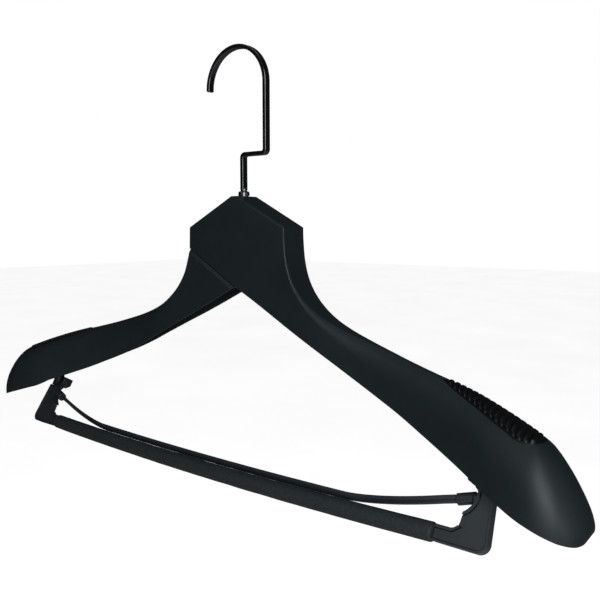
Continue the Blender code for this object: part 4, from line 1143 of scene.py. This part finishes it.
def cap_blank(name, sign, grow=0.0):
    """A cap's outside: a drum that leans in towards the rod, cut square at its outer end."""
    radius = CAP_RADIUS + grow
    inner_end = -CAP_LENGTH - grow
    edge = bpy.context.scene.hanger_shape.moulded_edge * 2
    profile = [(0, inner_end)]
    profile += arc((radius - edge, inner_end + edge), edge, -math.pi / 2, 0, EDGE_STEPS)
    profile += [(radius, radius), (0, radius)]
    body = along_x(turned(profile, SMALL_ROUND), 1)
    bmesh.ops.rotate(body, matrix=Matrix.Rotation(-CAP_TILT, 3, "Y"), verts=body.verts)
    bmesh.ops.translate(body, verts=body.verts, vec=(CAP_OUTER, 0, 0))
    left = bmesh.ops.bisect_plane(
        body,
        geom=[*body.verts, *body.edges, *body.faces],
        plane_co=(CAP_OUTER + grow, 0, 0),
        plane_no=(1, 0, 0),
        clear_outer=True,
    )
    rim = [item for item in left["geom_cut"] if isinstance(item, bmesh.types.BMEdge)]
    bmesh.ops.edgeloop_fill(body, edges=rim)
    bmesh.ops.scale(body, vec=(sign, 1, 1), verts=body.verts)
    return solid(name, body, clamp_frame())


def clamp_cap(name, sign):
    made = cap_blank(name, sign)
    hole = cylinder(PIN_RADIUS + GAP, CAP_OUTER - PIN_IN_CAP - CUT, CAP_OUTER + CUT, SMALL_ROUND)
    return cut(made, solid("hole", along_x(hole, sign), clamp_frame()))


# Brackets and mounts


def mirrored(outline, sign):
    return [(sign * x, z) for x, z in outline]


def hollow_arc():
    """The hollow above the spur: an arc of known radius from the spur's tip to the neck."""
    tip = Vector((BRACKET_SPUR, -SPUR_DROP))
    neck = Vector((BRACKET_NECK, HOLLOW_TOP))
    half = (neck - tip).length / 2
    across = Vector((-(neck - tip).y, (neck - tip).x)).normalized()
    centre = (tip + neck) / 2 + across * math.sqrt(BRACKET_HOLLOW_RADIUS**2 - half**2)
    start = math.atan2(tip.y - centre.y, tip.x - centre.x)
    end = math.atan2(neck.y - centre.y, neck.x - centre.x)
    return arc(centre, BRACKET_HOLLOW_RADIUS, start, end, CORNER_STEPS)


def outer_edge(rim, foot_rim, foot_end):
    """The right bracket's edge inside a rim, from the top outer corner to the foot's top."""
    bottom = -BAR_DROP - FOOT_HEIGHT / 2 + rim
    foot_top = -BAR_DROP + FOOT_HEIGHT / 2 - foot_rim
    corner = BRACKET_CORNER_RADIUS - rim
    centre = (BRACKET_OUTER - rim - corner, bottom + corner)
    points = [(BRACKET_TOP_OUTER - rim, BRACKET_TOP - rim)]
    points += arc(centre, corner, 0, -math.pi / 2, CORNER_STEPS)
    return points + [(foot_end, bottom), (foot_end, foot_top)]


def bracket_outline():
    """Outline of the right bracket in x and z, clockwise from the top outer corner."""
    points = outer_edge(0.0, 0.0, FOOT_END)
    foot_top = points[-1][1]
    fillet = BRACKET_FILLET_RADIUS
    seat = BRACKET_SPUR - fillet - FILLET_INSET
    points += arc((seat, foot_top + fillet), fillet, -math.pi / 2, -FILLET_END, CORNER_STEPS)
    points += hollow_arc()
    points.append((BRACKET_NECK, NECK_HEIGHT))
    points.append((BRACKET_TOP_INNER, BRACKET_TOP))
    return points


def web_recess():
    """The sunk field inside the rim. It runs out to the edge between spur and foot, and at the
    foot's end."""
    points = outer_edge(RIM_WIDTH, INNER_RIM_WIDTH, FOOT_END - CUT)
    foot_top = points[-1][1]
    foot_rise = foot_top + INNER_RIM_WIDTH + FIELD_FOOT_RISE
    mouth = BRACKET_SPUR - FIELD_MOUTH
    points.append((BRACKET_SPUR - BRACKET_FILLET_RADIUS + FIELD_STEP, foot_top))
    points.append((BRACKET_SPUR + FIELD_STEP, foot_rise))
    points.append((mouth, foot_rise + FIELD_FOOT_STEP))
    points.append((mouth, -SPUR_DROP - INNER_RIM_WIDTH))
    inward = INNER_RIM_WIDTH * math.cos(HOLLOW_LEAN)
    down = INNER_RIM_WIDTH * math.sin(HOLLOW_LEAN)
    points += [(x + inward, z - down) for x, z in hollow_arc()]
    points.append((BRACKET_NECK + inward, BRACKET_TOP - RIM_WIDTH))
    return points


def field_cutter(sign, side):
    """The cutter of the sunk field on one side of the web, with a groove along its edge."""
    half = BRACKET_THICKNESS / 2
    floor = half - RIM_HEIGHT - FIELD_GROOVE_DEPTH
    cutter = prism(mirrored(web_recess(), sign), side * (half + CUT), side * floor)
    bmesh.ops.recalc_face_normals(cutter, faces=cutter.faces)
    deep = min(cutter.faces, key=lambda face: abs(face.calc_center_median().y))
    bmesh.ops.inset_region(cutter, faces=[deep], thickness=FIELD_GROOVE_WIDTH, use_even_offset=True)
    for vert in deep.verts:
        vert.co.y += side * FIELD_GROOVE_DEPTH
    return solid("field", cutter, bar_frame())


def pin_end():
    return CAP_OUTER - PIN_IN_CAP + PIN_LENGTH + GAP


def bracket(name, sign, shape):
    half = BRACKET_THICKNESS / 2
    place = bar_frame()
    made = solid(name, prism(mirrored(bracket_outline(), sign), -half, half), place)
    for side in (-1, 1):
        cut(made, field_cutter(sign, side))
    low = (sign * MOUNT_X - TENON_HALF_WIDTH, -TENON_HALF_THICKNESS, BRACKET_TOP - CUT)
    high = (sign * MOUNT_X + TENON_HALF_WIDTH, TENON_HALF_THICKNESS, BRACKET_TOP + TENON_LENGTH)
    join(made, solid("tenon", block(low, high), place))
    socket = cylinder(CORE_RADIUS + GAP, FOOT_END - CUT, FOOT_END + CORE_SOCKET_DEPTH, SMALL_ROUND)
    cut(made, solid("socket", along_x(socket, sign), place @ moved((0, 0, -BAR_DROP))))
    radius = PIN_RADIUS + RUNNING_GAP + PIN_BOSS_WALL
    start = CAP_OUTER + PIN_BOSS_SIDE_GAP
    boss = along_x(cylinder(radius, start, BRACKET_NECK + INNER_RIM_WIDTH, SMALL_ROUND), sign)
    join(made, solid("boss", boss, clamp_frame()))
    hole = along_x(cylinder(PIN_RADIUS + RUNNING_GAP, CAP_OUTER, pin_end(), SMALL_ROUND), sign)
    cut(made, solid("hole", hole, clamp_frame()))
    cut(made, mount_hole(sign))
    return rounded(made, shape.moulded_edge)


def tenon_middle():
    return BRACKET_TOP + GAP + TENON_LENGTH / 2


def screw_frame(sign):
    return bar_frame() @ moved((sign * MOUNT_X, LUG_BACK, tenon_middle()), -math.pi / 2)


def mount_hole(sign):
    hole = cylinder(MOUNT_SCREW_RADIUS + GAP, -MOUNT_SCREW_DEPTH - GAP, CUT, SMALL_ROUND)
    return solid("hole", hole, screw_frame(sign))


def bar_mount(name, sign):
    foot = BRACKET_TOP + GAP
    outline = (
        (LUG_INNER + 2 * LUG_CHAMFER, foot),
        (LUG_OUTER, foot),
        (LUG_OUTER, foot + LUG_HEIGHT),
        (LUG_INNER, foot + LUG_HEIGHT),
        (LUG_INNER, foot + LUG_CHAMFER),
    )
    lug = prism(mirrored(outline, sign), LUG_FRONT, LUG_BACK)
    bmesh.ops.recalc_face_normals(lug, faces=lug.faces)
    bmesh.ops.bevel(
        lug,
        geom=lug.edges,
        offset=LUG_EDGE,
        segments=LUG_EDGE_STEPS,
        profile=0.5,
        affect="EDGES",
        material=-1,
    )
    place = bar_frame()
    made = solid(name, lug, place)
    arm = arm_sections()
    post_foot = pivot_place().z + math.cos(FRAME_LEAN) * tenon_middle()
    post = cylinder(POST_RADIUS, post_foot, boss_foot(arm) + POST_LENGTH - GAP)
    join(made, solid("post", post, post_frame(sign)))
    half_thick = TENON_HALF_THICKNESS + GAP
    half_wide = TENON_HALF_WIDTH + GAP
    low = (sign * MOUNT_X - half_wide, -half_thick, BRACKET_TOP - CUT)
    high = (sign * MOUNT_X + half_wide, half_thick, BRACKET_TOP + TENON_LENGTH + GAP)
    cut(made, solid("slot", block(low, high), place))
    return cut(made, mount_hole(sign))


def mount_screw(name, sign):
    head = MOUNT_SCREW_HEAD_RADIUS
    top = MOUNT_SCREW_HEAD_HEIGHT
    brow = top / 2
    profile = [
        (0, -MOUNT_SCREW_DEPTH),
        (MOUNT_SCREW_RADIUS, -MOUNT_SCREW_DEPTH),
        (MOUNT_SCREW_RADIUS, GAP),
        (head, GAP),
    ]
    profile += arc((head - brow, top - brow), brow, 0, math.pi / 2, SCREW_BROW_STEPS)
    profile.append((0, top))
    place = screw_frame(sign)
    made = solid(name, turned(profile, SMALL_ROUND), place)
    return cross_slots(made, MOUNT_SCREW_SLOT_REACH, place @ moved((0, 0, top)))


# Finishes


NUMBER = "NodeSocketFloat"
COLOUR = "NodeSocketColor"


def new_group(name, inputs, outputs):
    """A shader node group with named sockets, given as (name, kind, default)."""
    group = bpy.data.node_groups.new(name, "ShaderNodeTree")
    for label, kind, default in inputs:
        socket = group.interface.new_socket(name=label, in_out="INPUT", socket_type=kind)
        socket.default_value = default
    for label, kind in outputs:
        group.interface.new_socket(name=label, in_out="OUTPUT", socket_type=kind)
    return group, group.nodes.new("NodeGroupInput"), group.nodes.new("NodeGroupOutput")


def add_node(tree, kind, links, **settings):
    """A node with its settings and its links, given as (input, socket) pairs."""
    made = tree.nodes.new(kind)
    for name, value in settings.items():
        setattr(made, name, value)
    for name, source in links:
        if isinstance(source, bpy.types.NodeSocket):
            tree.links.new(source, made.inputs[name])
        else:
            made.inputs[name].default_value = source
    return made


def noise_node(tree, space, scale, detail, roughness=0.55):
    links = [("Vector", space), ("Scale", scale), ("Detail", detail), ("Roughness", roughness)]
    return add_node(tree, "ShaderNodeTexNoise", links).outputs["Fac"]


def map_range(tree, value, from_low, from_high, to_low=0.0, to_high=1.0):
    links = [
        ("Value", value),
        ("From Min", from_low),
        ("From Max", from_high),
        ("To Min", to_low),
        ("To Max", to_high),
    ]
    return add_node(tree, "ShaderNodeMapRange", links).outputs["Result"]


def math_node(tree, operation, first, second):
    links = [(0, first), (1, second)]
    return add_node(tree, "ShaderNodeMath", links, operation=operation).outputs[0]


def blend(tree, share, first, second):
    """Two colours mixed by a share."""
    links = [(0, share), (6, first), (7, second)]
    return add_node(tree, "ShaderNodeMix", links, data_type="RGBA").outputs[2]


def object_space(tree):
    return tree.nodes.new("ShaderNodeTexCoord").outputs["Object"]


def spread_roughness(group, start, end, pattern):
    """Spreads the middle values of a noise over the roughness from Low to High."""
    rough = map_range(group, pattern, NOISE_LOW, NOISE_HIGH, start.outputs["Low"], start.outputs["High"])
    group.links.new(rough, end.inputs["Roughness"])


def mottle_group():
    """Two tones of one colour, blended by soft blotches."""
    group, start, end = new_group(
        "Mottled colour",
        (
            ("Colour", COLOUR, (0.5, 0.5, 0.5, 1.0)),
            ("Second Colour", COLOUR, (0.5, 0.5, 0.5, 1.0)),
            ("Scale", NUMBER, 60.0),
            ("Spread", NUMBER, 0.15),
        ),
        (("Colour", COLOUR),),
    )
    space = object_space(group)
    blotches = noise_node(group, space, start.outputs["Scale"], detail=4.0)
    low = math_node(group, "SUBTRACT", 0.5, start.outputs["Spread"])
    high = math_node(group, "ADD", 0.5, start.outputs["Spread"])
    share = map_range(group, blotches, low, high)
    mixed = blend(group, share, start.outputs["Colour"], start.outputs["Second Colour"])
    group.links.new(mixed, end.inputs["Colour"])


def grain_group():
    """Fine relief of a moulded or sprayed surface, on a slower waviness."""
    group, start, end = new_group(
        "Moulded grain",
        (("Scale", NUMBER, 4000.0), ("Waviness", NUMBER, 0.2)),
        (("Height", NUMBER),),
    )
    space = object_space(group)
    fine = noise_node(group, space, start.outputs["Scale"], detail=2.0, roughness=0.6)
    slow_scale = math_node(group, "MULTIPLY", start.outputs["Scale"], 0.02)
    slow = noise_node(group, space, slow_scale, detail=1.0)
    weighted = math_node(group, "MULTIPLY", slow, start.outputs["Waviness"])
    group.links.new(math_node(group, "ADD", fine, weighted), end.inputs["Height"])


def handling_group():
    """Roughness that changes where hands and cloth have polished or dulled the surface."""
    group, start, end = new_group(
        "Handling marks",
        (("Scale", NUMBER, 30.0), ("Low", NUMBER, 0.4), ("High", NUMBER, 0.5)),
        (("Roughness", NUMBER),),
    )
    space = object_space(group)
    patches = noise_node(group, space, start.outputs["Scale"], detail=6.0, roughness=0.65)
    spread_roughness(group, start, end, patches)


def foam_group():
    """Open cells of foam: pits between rounded walls, and lumps a few cells wide."""
    group, start, end = new_group(
        "Foam cells",
        (("Scale", NUMBER, 1500.0),),
        (("Height", NUMBER), ("Tone", NUMBER)),
    )
    space = object_space(group)
    cells = add_node(
        group,
        "ShaderNodeTexVoronoi",
        [("Vector", space), ("Scale", start.outputs["Scale"])],
        feature="F1",
    ).outputs["Distance"]
    lump_scale = math_node(group, "MULTIPLY", start.outputs["Scale"], 0.25)
    lumps = noise_node(group, space, lump_scale, detail=3.0, roughness=0.6)
    group.links.new(math_node(group, "ADD", cells, lumps), end.inputs["Height"])
    group.links.new(lumps, end.inputs["Tone"])


def brushed_group():
    """Long fine scratches round a turned or drawn metal part."""
    group, start, end = new_group(
        "Drawn lines",
        (("Scale", NUMBER, 3000.0), ("Low", NUMBER, 0.2), ("High", NUMBER, 0.35)),
        (("Height", NUMBER), ("Roughness", NUMBER)),
    )
    space = object_space(group)
    stretched = add_node(
        group, "ShaderNodeMapping", [("Vector", space), ("Scale", (1.0, 1.0, 0.08))]
    ).outputs["Vector"]
    lines = noise_node(group, stretched, start.outputs["Scale"], detail=3.0, roughness=0.7)
    group.links.new(lines, end.inputs["Height"])
    spread_roughness(group, start, end, lines)


def group_node(tree, name, **values):
    made = tree.nodes.new("ShaderNodeGroup")
    made.node_tree = bpy.data.node_groups[name]
    for label, value in values.items():
        made.inputs[label.replace("_", " ")].default_value = value
    return made


def new_finish(name, metallic=0.0):
    made = bpy.data.materials.new(name)
    made.use_nodes = True
    shader = made.node_tree.nodes["Principled BSDF"]
    shader.inputs["Metallic"].default_value = metallic
    return made.node_tree, shader


def connect_bump(tree, shader, height, strength, distance):
    links = [("Height", height), ("Strength", strength), ("Distance", distance)]
    bump = add_node(tree, "ShaderNodeBump", links)
    tree.links.new(bump.outputs["Normal"], shader.inputs["Normal"])


def tones(colour, change):
    """A colour and its second tone, as four numbers each."""
    second = tuple(value * change for value in colour)
    return (*colour, 1.0), (*second, 1.0)


def mottled(tree, shader, colour, change, scale):
    """Colours a surface in blotches of two tones, and returns the colour's socket."""
    first, second = tones(colour, change)
    blotches = group_node(tree, "Mottled colour", Colour=first, Second_Colour=second, Scale=scale)
    tree.links.new(blotches.outputs["Colour"], shader.inputs["Base Color"])
    return blotches.outputs["Colour"]


def handled(tree, shader, roughness, scale=30.0):
    """Lets the roughness of a surface change between two values."""
    low, high = roughness
    marks = group_node(tree, "Handling marks", Low=low, High=high, Scale=scale)
    tree.links.new(marks.outputs["Roughness"], shader.inputs["Roughness"])


def moulded_finish(name, colour, roughness, grain, relief, change=1.35):
    """Moulded or coated plastic: slight blotches, a fine grain and uneven gloss."""
    tree, shader = new_finish(name)
    mottled(tree, shader, colour, change, scale=45.0)
    handled(tree, shader, roughness)
    grains = group_node(tree, "Moulded grain", Scale=grain)
    connect_bump(tree, shader, grains.outputs["Height"], relief, GRAIN_RELIEF)
    return shader


def foam_finish(colour):
    """Foam with open cells, in lumps of two tones."""
    tree, shader = new_finish("charcoal_foam")
    first, second = tones(colour, FOAM_CHANGE)
    cells = group_node(tree, "Foam cells", Scale=2600.0)
    share = map_range(tree, cells.outputs["Tone"], from_low=0.32, from_high=0.72)
    tree.links.new(blend(tree, share, first, second), shader.inputs["Base Color"])
    handled(tree, shader, (0.62, 0.8))
    connect_bump(tree, shader, cells.outputs["Height"], 0.55, FOAM_RELIEF)


def metal_finish(name, colour, roughness, change=1.2):
    """Turned or drawn metal with fine lines."""
    tree, shader = new_finish(name, metallic=1.0)
    mottled(tree, shader, colour, change, scale=200.0)
    low, high = roughness
    lines = group_node(tree, "Drawn lines", Low=low, High=high)
    tree.links.new(lines.outputs["Roughness"], shader.inputs["Roughness"])
    connect_bump(tree, shader, lines.outputs["Height"], 0.06, LINE_RELIEF)


def plated_finish(colour):
    """Black plating: a dark metal under a clear glossy skin."""
    tree, shader = new_finish("black_plating", metallic=1.0)
    mottled(tree, shader, colour, 1.5, scale=150.0)
    handled(tree, shader, (0.12, 0.2), scale=80.0)
    relief = group_node(tree, "Moulded grain", Scale=500.0, Waviness=0.6)
    shader.inputs["Coat Weight"].default_value = PLATING_COAT
    shader.inputs["Coat Roughness"].default_value = PLATING_COAT_ROUGHNESS
    connect_bump(tree, shader, relief.outputs["Height"], 0.006, GRAIN_RELIEF)


# Operators


class HANGER_OT_finishes(bpy.types.Operator):
    """Build the node groups and materials of the hanger"""

    bl_idname = "hanger.finishes"
    bl_label = "Finishes"

    def execute(self, context):
        colours = context.scene.hanger_finish
        for make in (mottle_group, grain_group, handling_group, foam_group, brushed_group):
            make()
        plastic = colours.plastic
        mount_shaded_colour = [value * MOUNT_PAINTED_SHADE for value in plastic]
        moulded_finish("soft_touch", colours.arms, (0.49, 0.56), 5200.0, relief=0.10, change=1.18)
        rubber = moulded_finish("ribbed_rubber", colours.pads, (0.34, 0.46), 3000.0, relief=0.12)
        rubber.inputs["Specular IOR Level"].default_value = RUBBER_SHINE
        moulded_finish("satin_black_plastic", plastic, (0.28, 0.40), 4200.0, relief=0.14)
        # Painted shade: the mounts get the brackets' colour darkened, for the shadow under the arms, and
        # a rougher surface
        moulded_finish("dull_black_plastic", mount_shaded_colour, (0.45, 0.6), 4200.0, relief=0.14)
        moulded_finish("coated_rod_black", plastic, (0.26, 0.34), 3600.0, relief=0.06)
        foam_finish(colours.foam)
        metal_finish("bright_steel", colours.steel, (0.16, 0.30))
        metal_finish("zinc_plate", colours.steel, (0.30, 0.45), change=0.8)
        plated_finish(colours.nickel)
        return {"FINISHED"}


class HANGER_OT_arms(bpy.types.Operator):
    """Model the two hollow arms, the right one with the head"""

    bl_idname = "hanger.arms"
    bl_label = "Arms and head"

    def execute(self, context):
        shape = context.scene.hanger_shape
        dress(right_arm(shape), "soft_touch", "hanger", "soft_touch_plastic", "right_arm")
        dress(left_arm(shape), "soft_touch", "hanger", "soft_touch_plastic", "left_arm")
        return {"FINISHED"}


class HANGER_OT_pads(bpy.types.Operator):
    """Model the ribbed pads on the shoulders"""

    bl_idname = "hanger.pads"
    bl_label = "Shoulder pads"

    def execute(self, context):
        shape = context.scene.hanger_shape
        for side, sign in SIDES:
            made = shoulder_pad(f"ribbed_pad_{side}", sign, shape)
            dress(made, "ribbed_rubber", "hanger", "pad_rubber", f"shoulder_pad_{side}")
        return {"FINISHED"}


class HANGER_OT_hook(bpy.types.Operator):
    """Model the hook and the ferrule it turns in, and give the washer and nut their finish"""

    bl_idname = "hanger.hook"
    bl_label = "Hook and swivel"

    def execute(self, context):
        made = hook(context.scene.hanger_shape)
        dress(made, "black_plating", "hook", "black_nickel", "hook")
        dress(ferrule(), "bright_steel", "hanger", "steel", "swivel_ferrule")
        dress_node("stem_washer", "zinc_plate")
        dress_node("stem_nut", "zinc_plate")
        return {"FINISHED"}


class HANGER_OT_screws(bpy.types.Operator):
    """Model the screws of the head and of the bar's mounts"""

    bl_idname = "hanger.screws"
    bl_label = "Screws"

    def execute(self, context):
        for side, spot in zip(("left", "right"), TONGUE_BOSSES):
            made = head_screw(f"countersunk_screw_{side}", spot)
            dress(made, "bright_steel", "hanger", "steel", f"head_screw_{side}")
        for side, sign in SIDES:
            made = mount_screw(f"round_screw_{side}", sign)
            dress(made, "bright_steel", "hanger", "steel", f"mount_screw_{side}")
        return {"FINISHED"}


class HANGER_OT_bar(bpy.types.Operator):
    """Model the trouser bar: its foam sleeve on a steel core"""

    bl_idname = "hanger.bar"
    bl_label = "Trouser bar"

    def execute(self, context):
        sleeve = bar_sleeve(context.scene.hanger_shape)
        dress(sleeve, "charcoal_foam", "hanger", "foam_sleeve", "bar_sleeve")
        dress(bar_core(), "bright_steel", "hanger", "steel", "bar_core")
        return {"FINISHED"}


class HANGER_OT_brackets(bpy.types.Operator):
    """Model the brackets of the bar and the mounts under the shoulders"""

    bl_idname = "hanger.brackets"
    bl_label = "Brackets and mounts"

    def execute(self, context):
        shape = context.scene.hanger_shape
        for side, sign in SIDES:
            plate = bracket(f"rimmed_bracket_{side}", sign, shape)
            dress(plate, "satin_black_plastic", "hanger", "black_plastic", f"bar_bracket_{side}")
            # The mounts' material is darkened as painted shade under the arms
            lug = bar_mount(f"lug_and_post_{side}", sign)
            dress(lug, "dull_black_plastic", "hanger", "black_plastic", f"bar_mount_{side}")
        return {"FINISHED"}


class HANGER_OT_clamp(bpy.types.Operator):
    """Model the swinging clamp rod with its end caps"""

    bl_idname = "hanger.clamp"
    bl_label = "Clamp rod"

    def execute(self, context):
        dress(clamp_rod(), "coated_rod_black", "clamp", "coated_rod", "clamp_rod")
        for side, sign in SIDES:
            made = clamp_cap(f"end_cap_{side}", sign)
            dress(made, "coated_rod_black", "clamp", "coated_rod", f"clamp_cap_{side}")
            dress_node(f"pivot_pin_{side}", "bright_steel")
        return {"FINISHED"}


def area_light(light, power):
    """A rectangular soft light that faces a point."""
    data = bpy.data.lights.new(light.name, "AREA")
    data.shape = "RECTANGLE"
    data.size = light.width
    data.size_y = light.height
    data.energy = power
    made = bpy.data.objects.new(light.name, data)
    bpy.context.scene.collection.objects.link(made)
    made.location = light.place
    way = Vector(light.aim) - Vector(light.place)
    made.rotation_euler = way.to_track_quat("-Z", "Y").to_euler()


def floor_finish(colour):
    """A pale floor that the camera sees as bright as the room round it."""
    tree, shader = new_finish("pale_floor")
    shade = mottled(tree, shader, colour, FLOOR_CHANGE, scale=3.0)
    tree.links.new(shade, shader.inputs["Emission Color"])
    path = tree.nodes.new("ShaderNodeLightPath")
    tree.links.new(path.outputs["Is Camera Ray"], shader.inputs["Emission Strength"])
    shader.inputs["Roughness"].default_value = FLOOR_ROUGHNESS


def room(strength):
    """Even light from all round. The camera sees it white, the pieces dimmer."""
    world = bpy.data.worlds.new("Studio")
    world.use_nodes = True
    tree = world.node_tree
    background = tree.nodes["Background"]
    background.inputs["Color"].default_value = ROOM_TINT
    background.inputs["Strength"].default_value = strength
    white = add_node(tree, "ShaderNodeBackground", [("Color", (1, 1, 1, 1)), ("Strength", 1.0)])
    is_camera = tree.nodes.new("ShaderNodeLightPath").outputs["Is Camera Ray"]
    links = [(0, is_camera), (1, background.outputs["Background"]), (2, white.outputs["Background"])]
    mix = add_node(tree, "ShaderNodeMixShader", links)
    tree.links.new(mix.outputs["Shader"], tree.nodes["World Output"].inputs["Surface"])
    bpy.context.scene.world = world


def photo_camera():
    """The camera, where the photograph was taken from."""
    data = bpy.data.cameras.new("camera")
    data.lens = CAMERA_LENS
    data.sensor_width = CAMERA_SENSOR
    data.clip_start = CAMERA_NEAR
    made = bpy.data.objects.new("camera", data)
    bpy.context.scene.collection.objects.link(made)
    made.location = CAMERA_PLACE
    made.rotation_euler = (CAMERA_PITCH, 0.0, CAMERA_TURN)
    bpy.context.scene.camera = made


class HANGER_OT_stage(bpy.types.Operator):
    """Set up the floor, the soft studio light and the camera"""

    bl_idname = "hanger.stage"
    bl_label = "Stage"

    def execute(self, context):
        stage = context.scene.hanger_stage
        bm = bmesh.new()
        bmesh.ops.create_grid(bm, x_segments=1, y_segments=1, size=FLOOR_HALF_WIDTH)
        floor = solid("floor", bm, Matrix.Translation((0, 0, stage.floor_height)))
        floor_finish(stage.floor_colour)
        paint(floor, "pale_floor")
        room(stage.room_light)
        for light in LIGHTS:
            area_light(light, getattr(stage, light.power))
        photo_camera()
        context.scene.view_settings.view_transform = "Standard"
        return {"FINISHED"}


class HANGER_PT_panel(bpy.types.Panel):
    """Lists the hanger's settings and operators"""

    bl_idname = "HANGER_PT_panel"
    bl_label = "Suit hanger"
    bl_space_type = "VIEW_3D"
    bl_region_type = "UI"
    bl_category = "Hanger"

    def draw(self, context):
        scene = context.scene
        for group in (scene.hanger_shape, scene.hanger_finish, scene.hanger_stage):
            box = self.layout.box()
            for name in group.__annotations__:
                box.prop(group, name)
        for operator in OPERATORS:
            self.layout.operator(operator.bl_idname)


OPERATORS = (
    HANGER_OT_finishes,
    HANGER_OT_arms,
    HANGER_OT_pads,
    HANGER_OT_hook,
    HANGER_OT_screws,
    HANGER_OT_bar,
    HANGER_OT_brackets,
    HANGER_OT_clamp,
    HANGER_OT_stage,
)
GROUPS = (
    ("hanger_shape", HangerShape),
    ("hanger_finish", HangerFinish),
    ("hanger_stage", HangerStage),
)


def register():
    for name, group in GROUPS:
        bpy.utils.register_class(group)
        setattr(bpy.types.Scene, name, bpy.props.PointerProperty(type=group))
    for operator in OPERATORS:
        bpy.utils.register_class(operator)
    bpy.utils.register_class(HANGER_PT_panel)


def unregister():
    bpy.utils.unregister_class(HANGER_PT_panel)
    for operator in reversed(OPERATORS):
        bpy.utils.unregister_class(operator)
    for name, group in reversed(GROUPS):
        delattr(bpy.types.Scene, name)
        bpy.utils.unregister_class(group)


def main():
    register()
    bpy.ops.hanger.finishes()
    bpy.ops.hanger.arms()
    bpy.ops.hanger.pads()
    bpy.ops.hanger.hook()
    bpy.ops.hanger.screws()
    bpy.ops.hanger.bar()
    bpy.ops.hanger.brackets()
    bpy.ops.hanger.clamp()
    bpy.ops.hanger.stage()


if __name__ == "__main__":
    main()
